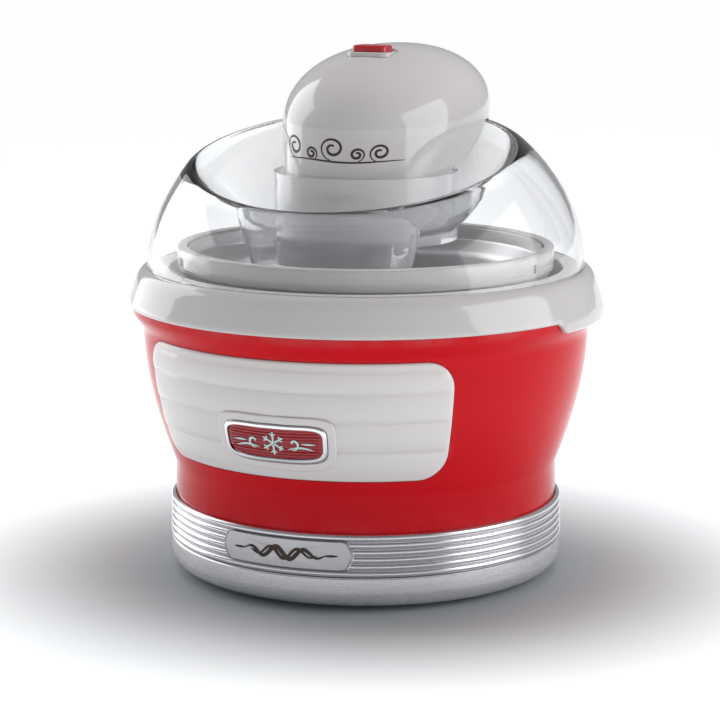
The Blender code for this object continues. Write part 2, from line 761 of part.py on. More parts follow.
def lid_loop(share):
    """A loop of the lid's outside: 0 is its base circle and 1 is the crest."""
    loop = []
    for (x0, y0, low), (x1, y1, high) in zip(circle(LID_RADIUS, LID_BASE_Z), crest_loop()):
        taper = [1 - math.sqrt(1 - ((high - low) * s / DOME_HEIGHT) ** 2) for s in (share, 1)]
        drawn_in = taper[0] / taper[1]
        loop.append((x0 + (x1 - x0) * drawn_in, y0 + (y1 - y0) * drawn_in, low + (high - low) * share))
    return loop


def crater_loop(share, lift=0.0):
    """A loop of the crater's floor: 0 is the crest and 1 is the edge of the motor well."""
    loop = []
    inner = WELL_RADIUS - 2 * MM
    for (x0, y0, top), (x1, y1, _) in zip(crest_loop(), circle(inner, 0)):
        floor = max(CRATER_Z + CRATER_SLOPE * y1, CRATER_LOWEST_Z)
        fall = math.sin(share * math.pi / 2) ** 1.25
        loop.append((x0 + (x1 - x0) * share, y0 + (y1 - y0) * share, top + (floor - top) * fall + lift))
    return loop


def lid_surface():
    """Loops of the lid's outside, from its base over the crest and down into the crater."""
    dome = [lid_loop(s) for s in (0, 0.2, 0.42, 0.63, 0.8, 0.92, 1)]
    crater = [crater_loop(s) for s in (0.12, 0.3, 0.6, 1)]
    return dome + crater


def lid_solid(name, depth, material=None):
    """The lid's outside, or its hollow or surroundings, as a closed solid at a depth inside its surface."""
    loops = shifted(lid_surface(), depth)
    base = LID_BASE_Z - (2 * MM if depth else 0)
    return lofted(name, [[(x, y, base) for x, y, _ in loops[0]]] * (1 if depth else 0) + loops, material)


def chute_loops(grow):
    """Loops of the filling chute in front of the motor, from its mouth down."""
    low_end = CHUTE_LOW_Z - (1 if grow > 0 else 5) * MM
    levels = ((CHUTE_TOP_Z + 16 * MM, 1), (CHUTE_TOP_Z - 4 * MM, 1), (low_end, 0))
    loops = []
    for z, share in levels:
        width, depth, y = (low + (top - low) * share for low, top in zip(CHUTE_LOW, CHUTE_TOP))
        loops.append(ellipse(width + grow, depth + grow, y, z, 36))
    return loops


def make_lid():
    """One clear moulding: dome, sloping crater, motor well with its collar, and the filling chute."""
    lid = lid_solid("lid", 0, "clear_plastic")
    boolean(lid, "DIFFERENCE", lid_solid("lid_hollow", LID_WALL))
    sky = [(x, y, 300 * MM) for x, y, _ in crest_loop()]
    crater = [crater_loop(s, -1.2 * MM) for s in (1, 0.6, 0.3, 0.12, 0)]
    above = lofted("crater_air", crater + [sky])
    above_collar = lofted("collar_air", crater + [sky])
    low_slab = lofted("low_slab", [circle(150 * MM, z) for z in (100 * MM, COLLAR_TOP_Z)])
    boolean(above_collar, "DIFFERENCE", low_slab)
    well = lofted("well_outer", [circle(WELL_RADIUS + WELL_WALL, z) for z in (WELL_FLOOR_Z, 230 * MM)])
    chute = lofted("chute_outer", chute_loops(1.1 * MM))
    boolean(well, "DIFFERENCE", above_collar)
    boolean(chute, "DIFFERENCE", above)
    boolean(lid, "UNION", chute, well)
    passage = lofted("chute_inner", chute_loops(-1.1 * MM))
    core_radius = WELL_RADIUS + WELL_WALL + 0.2 * MM
    well_core = lofted("well_core", [circle(core_radius, z) for z in (150 * MM, 300 * MM)])
    boolean(passage, "DIFFERENCE", well_core)
    hollow = lofted("well_inner", [circle(WELL_RADIUS, z) for z in (WELL_FLOOR_Z + 2.2 * MM, 300 * MM)])
    hole = lofted("shaft_hole", [circle(10 * MM, z, 24) for z in (150 * MM, 180 * MM)])
    boolean(lid, "DIFFERENCE", passage, hollow, hole)


# --- motor unit ----------------------------------------------------------------------------------
def housing_loops():
    """Loops of the motor housing: a round barrel that flares back into an egg with a domed top."""
    loops = [circle(MOTOR_RADIUS, z, 32) for z in (MOTOR_LOW_Z, FLARE_LOW_Z)]
    for i in range(1, 5):
        share = i / 4
        flare = math.sin(share * math.pi / 2) ** 0.9
        half_width = MOTOR_RADIUS + (EGG_HALF_WIDTH - MOTOR_RADIUS) * flare
        half_length = MOTOR_RADIUS + (EGG_HALF_LENGTH - MOTOR_RADIUS) * flare
        z = FLARE_LOW_Z + (EGG_SHOULDER_Z - FLARE_LOW_Z) * share
        loops.append(ellipse(half_width, half_length, EGG_Y * flare, z, 32))
    for i in range(1, 7):
        a = math.radians(min(i * 15, 86))
        in_share, up_share = math.cos(a) ** EGG_FULLNESS, math.sin(a) ** EGG_FULLNESS
        y = EGG_Y + (EGG_TOP_Y - EGG_Y) * up_share
        z = EGG_SHOULDER_Z + (EGG_TOP_Z - EGG_SHOULDER_Z) * up_share
        loops.append(ellipse(EGG_HALF_WIDTH * in_share, EGG_HALF_LENGTH * in_share, y, z, 32))
    return loops


def housing_solid(name, depth, material=None):
    """The housing's outside, or its hollow at a depth inside, cut off above the lid."""
    loops = shifted(housing_loops(), depth)
    if depth:
        loops[0] = [(x, y, z - 8 * MM) for x, y, z in loops[0]]
    solid = lofted(name, loops, material)
    lift = 1.4 * MM + depth * 1.3
    room = lofted(f"{name}_lid_room", [[(x, y, z + lift) for x, y, z in loop] for loop in lid_surface()])
    core_radius = MOTOR_RADIUS - depth + 0.6 * MM
    core = lofted(f"{name}_core", [circle(core_radius, z) for z in (100 * MM, 300 * MM)])
    boolean(room, "DIFFERENCE", core)
    return boolean(solid, "DIFFERENCE", room)


def make_housing():
    housing = housing_solid("motor_housing", 0, "white_gloss")
    boolean(housing, "DIFFERENCE", housing_solid("housing_hollow", SHELL))
    width, depth = BUTTON_SIZE
    opening = rounded_rectangle(width + 5.2 * MM, depth + 5.2 * MM, 5.5 * MM, (0, BUTTON_Y))
    boolean(housing, "DIFFERENCE", prism("button_opening", opening, 240 * MM, 262 * MM))
    gland_hole = lofted("gland_hole", [circle(6 * MM, z, 20) for z in (66 * MM, 100 * MM)])
    gland_hole.rotation_euler = (-math.pi / 2, 0, 0)
    gland_hole.location = (0, 0, 230 * MM)
    boolean(housing, "DIFFERENCE", gland_hole)
    make_bezel(width, depth)
    make_gland()


def make_bezel(width, depth):
    """The ring round the button, and the button with its stem, return spring and switch."""
    outer = rounded_rectangle(width + 4.6 * MM, depth + 4.6 * MM, 5.2 * MM, (0, BUTTON_Y))
    inner = rounded_rectangle(width + 0.8 * MM, depth + 0.8 * MM, 3.4 * MM, (0, BUTTON_Y))
    lip = rounded_rectangle(width + 3.4 * MM, depth + 3.4 * MM, 4.6 * MM, (0, BUTTON_Y))
    bezel = lofted(
        "button_bezel",
        [
            [(x, y, 244 * MM) for x, y in outer],
            [(x, y, BEZEL_TOP_Z - 0.8 * MM) for x, y in outer],
            [(x, y, BEZEL_TOP_Z) for x, y in lip],
        ],
        "white_gloss",
    )
    boolean(bezel, "DIFFERENCE", prism("bezel_opening", inner, 240 * MM, 260 * MM))
    button = rounded_rectangle(width, depth, 3 * MM)
    crown = rounded_rectangle(width - 1.6 * MM, depth - 1.6 * MM, 2.4 * MM)
    cap = lofted(
        "power_button",
        [
            [(x, y, BUTTON_LOW_Z + 1 * MM) for x, y in button],
            [(x, y, BUTTON_TOP_Z - 0.9 * MM) for x, y in button],
            [(x, y, BUTTON_TOP_Z) for x, y in crown],
        ],
        "red_gloss",
    )
    stem = lofted("button_stem", [circle(2.2 * MM, z, 16) for z in (241.6 * MM, 249 * MM)])
    boolean(cap, "UNION", stem)
    for obj in (cap, stem):
        obj.location = (0, BUTTON_Y, 0)
    switch = rounded_rectangle(13 * MM, 9 * MM, 1 * MM, (0, BUTTON_Y), 1)
    body = prism("power_switch", switch, 230.5 * MM, 239 * MM, "black_plastic")
    make_spring(239.4 * MM, BUTTON_LOW_Z + 0.6 * MM)
    bracket = rounded_rectangle(17 * MM, 13 * MM, 1.5 * MM, (0, BUTTON_Y), 2)
    prism("switch_bracket", bracket, 228.6 * MM, 230.2 * MM, "white_matte")
    return body


def make_spring(low, high):
    """The button's return spring: an open coil of round wire."""
    turns, per_turn, radius, wire = 3, 9, 3.6 * MM, 0.35 * MM
    curve = bpy.data.curves.new("button_spring", "CURVE")
    curve.dimensions = "3D"
    curve.bevel_depth = wire
    curve.bevel_resolution = 1
    curve.use_fill_caps = True
    spline = curve.splines.new("POLY")
    count = turns * per_turn
    spline.points.add(count)
    rise = high - low - 2 * wire
    for i in range(count + 1):
        a = math.tau * i / per_turn
        point = (radius * math.cos(a), BUTTON_Y + radius * math.sin(a), low + wire + rise * i / count, 1)
        spline.points[i].co = point
    curve.materials.append(paint("steel"))
    spring = bpy.data.objects.new("button_spring", curve)
    bpy.context.scene.collection.objects.link(spring)


def make_gland():
    """The rubber bush in the rear wall where the mains lead would enter."""
    start, wall_y, end = 80 * MM, 87 * MM, 96 * MM
    gland = turned(
        "cord_gland",
        [
            (3.2 * MM, start),
            (5.6 * MM, start),
            (5.6 * MM, wall_y + 4 * MM),
            (4.8 * MM, end),
            (3.2 * MM, end),
        ],
        "black_plastic",
        20,
    )
    gland.rotation_euler = (-math.pi / 2, 0, 0)
    gland.location = (0, 0, 230 * MM)


def gear_outline(teeth, turn=0.0, centre=(0.0, 0.0)):
    """Spur gear outline of four points a tooth, thinned a little for backlash."""
    pitch = MODULE * teeth / 2
    points = []
    for tooth in range(teeth):
        middle = turn + math.tau * tooth / teeth
        pitch_angle = math.tau / teeth
        for radius, share in (
            (pitch - 1.15 * MODULE, -0.33),
            (pitch + 0.85 * MODULE, -0.11),
            (pitch + 0.85 * MODULE, 0.11),
            (pitch - 1.15 * MODULE, 0.33),
        ):
            a = middle + share * pitch_angle
            points.append((centre[0] + radius * math.cos(a), centre[1] + radius * math.sin(a)))
    return points


def make_gears():
    """Motor pinion to idler, idler to output gear, and the shaft that drives the paddle."""
    up = math.pi / 2
    output = prism("output_gear", gear_outline(OUTPUT_TEETH, up), GEAR_LOW_Z, GEAR_LOW_Z + GEAR_WIDTH, "gear_nylon")
    output_bore = [circle(SHAFT_RADIUS + 0.05 * MM, z, 24) for z in (160 * MM, 190 * MM)]
    boolean(output, "DIFFERENCE", lofted("output_bore", output_bore))
    half = DRIVE_SQUARE / 2
    corner = 0.8 * MM
    square = rounded_rectangle(2 * half, 2 * half, corner, (0, 0), 2)
    shaft = prism("drive_shaft", square, SHAFT_LOW_Z, 160 * MM, "steel")
    round_part = lofted("shaft_journal", [circle(SHAFT_RADIUS, z, 24) for z in (157 * MM, 178.6 * MM)])
    boolean(shaft, "UNION", round_part)

    half_tooth = math.pi / IDLER_SMALL_TEETH
    small_teeth = gear_outline(IDLER_SMALL_TEETH, -up + half_tooth)
    idler = prism("idler_gear", small_teeth, GEAR_LOW_Z, UPPER_GEAR_Z + 1 * MM, "gear_nylon")
    large_teeth = gear_outline(IDLER_LARGE_TEETH, -up)
    wheel = prism("idler_wheel", large_teeth, UPPER_GEAR_Z, UPPER_GEAR_Z + UPPER_GEAR_WIDTH)
    bore = lofted("idler_bore", [circle(1.55 * MM, z, 16) for z in (160 * MM, 195 * MM)])
    boolean(idler, "UNION", wheel)
    boolean(idler, "DIFFERENCE", bore)
    axle_ends = (170.2 * MM, PLATE_Z - GAP)
    axle = lofted("idler_axle", [circle(1.5 * MM, z, 16) for z in axle_ends], "steel")
    for obj in (idler, wheel, bore, axle):
        obj.location = (0, IDLER_Y, 0)

    pinion_teeth = gear_outline(PINION_TEETH, up + math.pi / PINION_TEETH)
    pinion_high = UPPER_GEAR_Z + UPPER_GEAR_WIDTH
    pinion = prism("motor_pinion", pinion_teeth, UPPER_GEAR_Z - 0.2 * MM, pinion_high, "brass")
    rotor = lofted("rotor_shaft", [circle(1.6 * MM, z, 16) for z in (UPPER_GEAR_Z + 2 * MM, 193 * MM)])
    boolean(pinion, "UNION", rotor)
    for obj in (pinion, rotor):
        obj.location = (0, MOTOR_Y, 0)


def make_motor():
    """Base cover, gearbox plate, motor can, bush and screws inside the housing."""
    cover_radius = MOTOR_RADIUS - SHELL - GAP
    cover_low, cover_high = MOTOR_LOW_Z + 0.2 * MM, MOTOR_LOW_Z + 3 * MM
    cover = turned(
        "motor_base",
        [(5.4 * MM, cover_low), (cover_radius, cover_low), (cover_radius, cover_high), (5.4 * MM, cover_high)],
        "white_matte",
    )
    bush_bore = SHAFT_RADIUS + 0.05 * MM
    turned(
        "output_bush",
        [
            (bush_bore, MOTOR_LOW_Z - 0.4 * MM),
            (5.2 * MM, MOTOR_LOW_Z - 0.4 * MM),
            (5.2 * MM, cover_high + GAP),
            (7 * MM, cover_high + GAP),
            (7 * MM, cover_high + 2 * MM),
            (bush_bore, cover_high + 2 * MM),
        ],
        "brass",
        24,
    )
    post = lofted("axle_post", [circle(3 * MM, z, 12) for z in (cover_low + 1 * MM, 169.8 * MM)])
    post.location = (0, IDLER_Y, 0)
    post.rotation_euler = (0, 0, 0.1)
    boolean(cover, "UNION", post)
    plate_outline = [p[:2] for p in circle(33 * MM, 0, 32, (0, 3 * MM))]
    plate = prism("gearbox_plate", plate_outline, PLATE_Z, PLATE_Z + 2 * MM, "steel")
    rotor_hole = [circle(4 * MM, z, 12, (0, MOTOR_Y)) for z in (180 * MM, 195 * MM)]
    boolean(plate, "DIFFERENCE", lofted("rotor_hole", rotor_hole))
    sizes = ((25 * MM, PLATE_Z + 2.3 * MM), (25 * MM, 226 * MM), (23 * MM, 228.2 * MM))
    can = lofted("motor_can", [circle(r, z, 32, (0, MOTOR_Y)) for r, z in sizes], "steel")
    rotor_bore = [circle(2 * MM, z, 12, (0, MOTOR_Y)) for z in (180 * MM, 194 * MM)]
    boolean(can, "DIFFERENCE", lofted("rotor_bore", rotor_bore))
    make_cover_screws(cover, cover_high)


def make_cover_screws(cover, cover_high):
    """Four bosses on the housing's wall, which carry the gearbox plate, and the screws up into them."""
    housing = bpy.data.objects["motor_housing"]
    for number, degrees in enumerate((60, -60, 144, -144)):
        x, y, _ = on_cylinder(math.radians(degrees), 33.2 * MM, 0)
        boss_ends = (cover_high + GAP, PLATE_Z - GAP)
        boss = lofted(f"housing_boss_{number}", [circle(4.6 * MM, z, 12) for z in boss_ends])
        screw = turned(
            f"cover_screw_{number + 1}", screw_profile(MOTOR_LOW_Z - 0.5 * MM, 12 * MM, 2.6 * MM), "steel", 10
        )
        bore = lofted(f"boss_bore_{number}", [circle(1.8 * MM, z, 8) for z in (160 * MM, 180 * MM)])
        hole = lofted(f"cover_hole_{number}", [circle(1.8 * MM, z, 8) for z in (160 * MM, 190 * MM)])
        room_ends = (160 * MM, 166.9 * MM)
        head_room = lofted(f"head_room_{number}", [circle(3 * MM, z, 10) for z in room_ends])
        for obj in (boss, screw, bore, hole, head_room):
            obj.location = (x, y, 0)
            obj.rotation_euler = (0, 0, 0.1 + 0.05 * number)
        boolean(housing, "UNION", boss)
        boolean(housing, "DIFFERENCE", bore)
        boolean(cover, "DIFFERENCE", hole, head_room)


def clear_scene():
    for obj in list(bpy.data.objects):
        bpy.data.objects.remove(obj)


def main():
    clear_scene()
    make_base()
    make_body()
    make_badge()
    make_ring()
    make_bowl()
    make_paddle()
    make_lid()
    make_housing()
    make_gears()
    make_motor()


main()
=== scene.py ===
"""Looks of the ice cream maker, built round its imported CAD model. Metres, +Z up, front towards -Y."""

import math

import bmesh
import bpy
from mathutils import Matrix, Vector


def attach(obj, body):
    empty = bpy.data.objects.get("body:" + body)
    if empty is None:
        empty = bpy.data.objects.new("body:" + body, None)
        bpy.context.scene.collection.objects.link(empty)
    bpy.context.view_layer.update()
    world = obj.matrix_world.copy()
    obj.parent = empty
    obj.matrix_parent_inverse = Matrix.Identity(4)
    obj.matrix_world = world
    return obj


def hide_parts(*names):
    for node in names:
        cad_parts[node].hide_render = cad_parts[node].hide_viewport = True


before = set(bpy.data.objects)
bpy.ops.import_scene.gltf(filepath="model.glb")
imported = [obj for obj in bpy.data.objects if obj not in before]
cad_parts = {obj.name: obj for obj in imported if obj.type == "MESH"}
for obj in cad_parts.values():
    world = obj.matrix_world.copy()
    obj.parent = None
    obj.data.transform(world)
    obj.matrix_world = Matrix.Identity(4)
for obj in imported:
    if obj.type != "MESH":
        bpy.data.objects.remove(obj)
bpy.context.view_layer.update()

MM = 0.001
TAU = math.tau
ROUND = 160  # flats round a large turned piece

# --- shape, as the CAD model has it ------------------------------------------------------------
TRAY_BOTTOM_Z, TRAY_TOP_Z, TRAY_RADIUS = 2.6 * MM, 17.3 * MM, 95.4 * MM
BAND_BOTTOM_Z, BAND_TOP_Z, BAND_RADIUS, BAND_RIBS = 17.6 * MM, 37.8 * MM, 95.9 * MM, 6
NECK_RADIUS, NECK_TOP_Z = 93.0 * MM, 54.5 * MM
BODY_RADIUS, BODY_TOP_Z, BODY_CURVE = 107.8 * MM, 120 * MM, 1.8
FLANGE_RADIUS, FLANGE_Z = 113.2 * MM, 131.2 * MM
PANEL_HALF_ANGLE = math.radians(45.3)
PANEL_LOW_Z, PANEL_HIGH_Z, PANEL_CORNER, PANEL_RIBS = 63 * MM, 119.6 * MM, 13 * MM, 4
BADGE_HALF_WIDTH, BADGE_HALF_HEIGHT, BADGE_Z = 25 * MM, 9.3 * MM, 81.6 * MM
RING_RADIUS, RING_LOW_Z, RING_HIGH_Z = 114.8 * MM, 131.5 * MM, 149 * MM
TAB_HALF_ANGLE, TAB_DEPTH = math.radians(16), 5 * MM
RIM_RADIUS, RIM_INNER_RADIUS, RIM_LOW_Z, RIM_HIGH_Z = 91 * MM, 86 * MM, 148.6 * MM, 159.2 * MM
BOWL_INNER_LOW, BOWL_INNER_HIGH, BOWL_FLOOR_Z = 68 * MM, 78 * MM, 56 * MM
LID_RADIUS, LID_BASE_Z, LID_WALL = 105.8 * MM, 149.3 * MM, 2.4 * MM
DOME_HEIGHT, CREST_HALF_WIDTH, CREST_HALF_LENGTH = 87 * MM, 80 * MM, 68.3 * MM
CREST_Y, CREST_Z, CREST_SLOPE, CREST_BEND = -10 * MM, 205.2 * MM, 0.27, 0.57
CREST_BOW = 6 * MM
CRATER_Z, CRATER_SLOPE, CRATER_LOWEST_Z = 174 * MM, 0.83, 168 * MM
WELL_RADIUS, WELL_WALL, WELL_FLOOR_Z, COLLAR_TOP_Z = 42 * MM, 2.3 * MM, 162 * MM, 194.5 * MM
CHUTE_TOP_Z, CHUTE_LOW_Z = 190 * MM, 153 * MM
CHUTE_TOP, CHUTE_LOW = (0.047, 0.033, -0.043), (0.038, 0.025, -0.0405)
MOTOR_LOW_Z, MOTOR_RADIUS, FLARE_LOW_Z = 165.2 * MM, 39.4 * MM, 193 * MM
EGG_HALF_WIDTH, EGG_HALF_LENGTH, EGG_Y, EGG_TOP_Y = 47.4 * MM, 65.6 * MM, 26.4 * MM, 37 * MM
EGG_SHOULDER_Z, EGG_TOP_Z, EGG_FULLNESS = 219 * MM, 253.4 * MM, 0.92
BUTTON_Y, BUTTON_WIDTH, BUTTON_DEPTH = 8 * MM, 17.6 * MM, 12 * MM
BUTTON_TOP_Z, BEZEL_TOP_Z = 254.3 * MM, 250.8 * MM
CAMERA_AZIMUTH, CAMERA_DIP = math.radians(23.5), 0.1845


# --- materials ---------------------------------------------------------------------------------
class Graph:
    """A short way to lay out a material's nodes."""

    def __init__(self, name):
        self.material = bpy.data.materials.new(name)
        self.material.use_nodes = True
        self.tree = self.material.node_tree
        self.shader = self.tree.nodes["Principled BSDF"]
        self.place = self.node("ShaderNodeTexCoord").outputs["Object"]

    def node(self, kind, **settings):
        made = self.tree.nodes.new(kind)
        for key, value in settings.items():
            setattr(made, key, value)
        return made

    def link(self, source, target):
        self.tree.links.new(source, target)

    def noise(self, scale, detail, roughness=0.5, stretch=(1, 1, 1), source=None):
        mapping = self.node("ShaderNodeMapping")
        mapping.inputs["Scale"].default_value = stretch
        self.link(source or self.place, mapping.inputs["Vector"])
        made = self.node("ShaderNodeTexNoise")
        made.inputs["Scale"].default_value = scale
        made.inputs["Detail"].default_value = detail
        made.inputs["Roughness"].default_value = roughness
        self.link(mapping.outputs["Vector"], made.inputs["Vector"])
        return made.outputs["Fac"]

    def from_axis(self):
        """The object coordinates one by one, and the distance from the vertical axis."""
        split = self.node("ShaderNodeSeparateXYZ")
        self.link(self.place, split.inputs[0])
        squares = [self.math("MULTIPLY", split.outputs[axis], split.outputs[axis]) for axis in "XY"]
        return split.outputs, self.math("SQRT", self.math("ADD", *squares))

    def turns(self):
        """Coordinates (angle, radius, z) round the vertical axis, for grain that runs round a piece."""
        place, radius = self.from_axis()
        joined = self.node("ShaderNodeCombineXYZ")
        for index, value in enumerate((self.math("ARCTAN2", place["X"], place["Y"]), radius, place["Z"])):
            self.link(value, joined.inputs[index])
        return joined.outputs[0]

    def math(self, operation, *values):
        made = self.node("ShaderNodeMath", operation=operation)
        for index, value in enumerate(values):
            if isinstance(value, (int, float)):
                made.inputs[index].default_value = value
            else:
                self.link(value, made.inputs[index])
        return made.outputs[0]

    def ramp(self, source, low, high):
        """Blends from one colour to another as the source goes through its middle range."""
        made = self.node("ShaderNodeValToRGB")
        first, last = made.color_ramp.elements
        first.position, last.position = 0.3, 0.7
        first.color, last.color = (*low, 1), (*high, 1)
        self.link(source, made.inputs["Fac"])
        return made.outputs["Color"]

    def span(self, source, low, high, start=0.3, end=0.7, **settings):
        """Maps the source's start..end to low..high."""
        made = self.node("ShaderNodeMapRange", **settings)
        for key, value in (("From Min", start), ("From Max", end), ("To Min", low), ("To Max", high)):
            made.inputs[key].default_value = value
        self.link(source, made.inputs["Value"])
        return made.outputs["Result"]

    def bump(self, source, strength, distance, under=None):
        made = self.node("ShaderNodeBump")
        made.inputs["Strength"].default_value = strength
        made.inputs["Distance"].default_value = distance
        self.link(source, made.inputs["Height"])
        if under:
            self.link(under, made.inputs["Normal"])
        return made.outputs["Normal"]

    def set(self, **values):
        for key, value in values.items():
            socket = self.shader.inputs[key.replace("_", " ")]
            if isinstance(value, bpy.types.NodeSocket):
                self.link(value, socket)
            else:
                socket.default_value = value
        return self.material


def shade(colour, share):
    return tuple(c * share for c in colour)


def glossy(name, colour, roughness, coat, drift, wear, shine=0.5):
    """Moulded gloss plastic: faint mould drift, soft flow marks, dusty patches, edges a little paler."""
    g = Graph(name)
    flow = g.noise(14, 4, 0.6, (1, 1, 2.5))
    base = g.ramp(flow, shade(colour, 1 - drift), shade(colour, 1 + drift * 0.6))
    edge = g.node("ShaderNodeNewGeometry").outputs["Pointiness"]
    worn = g.math("MULTIPLY", g.span(edge, 0, wear, 0.52, 0.6), g.span(g.noise(90, 3), 0, 1, 0.35, 0.7))
    mix = g.node("ShaderNodeMix", data_type="RGBA")
    g.link(worn, mix.inputs["Factor"])
    g.link(base, mix.inputs["A"])
    mix.inputs["B"].default_value = (*[0.5 * c + 0.42 for c in colour], 1)
    rough = g.span(g.noise(32, 5, 0.65), roughness * 0.75, roughness * 1.5)
    waves = g.bump(g.noise(55, 2, 0.4), 0.12, 0.25 * MM)
    fine = g.bump(g.noise(900, 2), 0.06, 0.02 * MM, waves)
    return g.set(
        Base_Color=mix.outputs["Result"],
        Roughness=rough,
        Normal=fine,
        Coat_Weight=coat,
        Coat_Roughness=0.04,
        Specular_IOR_Level=shine,
    )


def satin_metal(name, colour, roughness, metallic, streak):
    """Silver paint or turned metal, with fine streaks round the piece."""
    g = Graph(name)
    lines = g.noise(60, 4, 0.6, (0.1, 30, 30), g.turns())
    blotch = g.noise(22, 4)
    base = g.ramp(lines, shade(colour, 1 - streak), shade(colour, 1 + streak * 0.5))
    rough = g.math("ADD", g.span(lines, roughness * 0.8, roughness * 1.2), g.span(blotch, -0.04, 0.06))
    flakes = g.bump(g.noise(1800, 1), 0.015, 0.01 * MM)
    return g.set(
        Base_Color=base, Roughness=rough, Metallic=metallic, Normal=g.bump(lines, 0.04, 0.01 * MM, flakes)
    )


def matte(name, colour, roughness, drift, grain):
    """Fine-textured moulding, rubber or print."""
    g = Graph(name)
    base = g.ramp(g.noise(40, 5, 0.6), shade(colour, 1 - drift), shade(colour, 1 + drift))
    rough = g.span(g.noise(120, 3), roughness * 0.85, min(roughness * 1.2, 1))
    return g.set(Base_Color=base, Roughness=rough, Normal=g.bump(g.noise(700, 3), grain, 0.05 * MM))


def clear_plastic(name):
    """Clear moulded plastic: faintly grey, wavy and hazy, milky near its axis. Lamps shine through it."""
    g = Graph(name)
    tint = g.ramp(g.noise(18, 3), (0.955, 0.962, 0.968), (0.985, 0.988, 0.992))
    haze = g.span(g.noise(26, 5, 0.6), 0.005, 0.03)
    radius = g.from_axis()[1]
    milky_to, clear_from = 50 * MM, 70 * MM
    g.set(
        Base_Color=tint,
        Roughness=haze,
        Transmission_Weight=g.span(radius, 0.68, 1.0, milky_to, clear_from),
        IOR=1.36,
        Normal=g.bump(g.noise(24, 2, 0.4), 0.06, 0.3 * MM),
        Specular_IOR_Level=0.5,
    )
    passing = g.node("ShaderNodeBsdfTransparent")
    passing.inputs["Color"].default_value = (0.95, 0.95, 0.96, 1)
    mix = g.node("ShaderNodeMixShader")
    g.link(g.node("ShaderNodeLightPath").outputs["Is Shadow Ray"], mix.inputs[0])
    g.link(g.shader.outputs[0], mix.inputs[1])
    g.link(passing.outputs[0], mix.inputs[2])
    g.link(mix.outputs[0], g.tree.nodes["Material Output"].inputs["Surface"])
    return g.material


RED, WHITE = (0.60, 0.006, 0.012), (0.64, 0.615, 0.605)
LOOKS = {
    "red": glossy("red_gloss_plastic", RED, 0.1, 0.0, 0.05, 0.12, shine=0.12),
    "button": glossy("red_button_plastic", (0.50, 0.006, 0.012), 0.16, 0.4, 0.06, 0.2),
    "badge": glossy("badge_red_enamel", (0.36, 0.005, 0.012), 0.16, 0.8, 0.1, 0.1),
    "white": glossy("white_gloss_plastic", WHITE, 0.1, 0.4, 0.02, 0.0),
    "panel": glossy("panel_gloss_plastic", (0.74, 0.705, 0.70), 0.1, 0.25, 0.02, 0.0),
    "cream": matte("white_moulded_plastic", (0.70, 0.69, 0.67), 0.42, 0.03, 0.2),
    "clear": clear_plastic("clear_lid_plastic"),
    "silver": satin_metal("silver_ribbed_plastic", (0.74, 0.73, 0.75), 0.2, 0.95, 0.03),
    "base": satin_metal("silver_base_plastic", (0.78, 0.77, 0.79), 0.27, 0.75, 0.015),
    "plate": satin_metal("name_plate_metal", (0.47, 0.46, 0.48), 0.3, 0.9, 0.04),
    "chrome": satin_metal("bright_chrome", (0.80, 0.80, 0.82), 0.08, 1.0, 0.05),
    "bowl": satin_metal("bowl_aluminium", (0.66, 0.65, 0.66), 0.36, 1.0, 0.1),
    "rubber": matte("foot_rubber", (0.40, 0.38, 0.35), 0.8, 0.15, 0.6),
    "steel": satin_metal("plain_steel", (0.52, 0.52, 0.54), 0.32, 1.0, 0.1),
    "nylon": matte("gear_nylon", (0.80, 0.77, 0.68), 0.38, 0.05, 0.25),
    "gel": matte("coolant_gel", (0.35, 0.55, 0.75), 0.35, 0.2, 0.3),
    "black": matte("black_moulding", (0.02, 0.02, 0.022), 0.5, 0.3, 0.5),
    "brass": satin_metal("turned_brass", (0.74, 0.54, 0.22), 0.28, 1.0, 0.1),
    "mint": matte("mint_print", (0.62, 0.84, 0.80), 0.35, 0.05, 0.2),
    "ink": matte("dark_print", (0.035, 0.016, 0.012), 0.4, 0.25, 0.2),
}


def give(obj, look):
    obj.data.materials.clear()
    obj.data.materials.append(LOOKS[look])
    return obj


# --- modelling helpers -------------------------------------------------------------------------
def add(name, bm, look=None, sharp=40):
    bmesh.ops.remove_doubles(bm, verts=bm.verts, dist=1e-6)
    loose = [edge for edge in bm.edges if not edge.link_faces]
    bmesh.ops.delete(bm, geom=loose, context="EDGES")
    bmesh.ops.recalc_face_normals(bm, faces=bm.faces)
    mesh = bpy.data.meshes.new(name)
    bm.to_mesh(mesh)
    bm.free()
    obj = bpy.data.objects.new(name, mesh)
    bpy.context.scene.collection.objects.link(obj)
    if look:
        mesh.materials.append(LOOKS[look])
        mesh.shade_smooth()
        mesh.set_sharp_from_angle(angle=math.radians(sharp))
    return obj


def softened(profile, radii, steps=4):
    """The (radius, z) outline with each corner rounded: radii gives a radius for each point, 0 for none."""
    points = []
    count = len(profile)
    for i, (point, radius) in enumerate(zip(profile, radii)):
        here = Vector(point)
        if not radius:
            points.append(tuple(here))
            continue
        before, after = Vector(profile[i - 1]) - here, Vector(profile[(i + 1) % count]) - here
        reach = min(radius, before.length * 0.49, after.length * 0.49)
        start, end = here + before.normalized() * reach, here + after.normalized() * reach
        for s in range(steps + 1):
            t = s / steps
            points.append(tuple((1 - t) ** 2 * start + 2 * t * (1 - t) * here + t * t * end))
    return points


def turned(name, profile, look=None, sharp=40):
    bm = bmesh.new()
    points = [bm.verts.new((r, 0, z)) for r, z in profile]
    edges = [bm.edges.new((a, b)) for a, b in zip(points, points[1:] + points[:1])]
    turn = {"cent": (0, 0, 0), "axis": (0, 0, 1), "angle": TAU, "steps": ROUND, "use_merge": True}
    bmesh.ops.spin(bm, geom=points + edges, **turn)
    return add(name, bm, look, sharp)


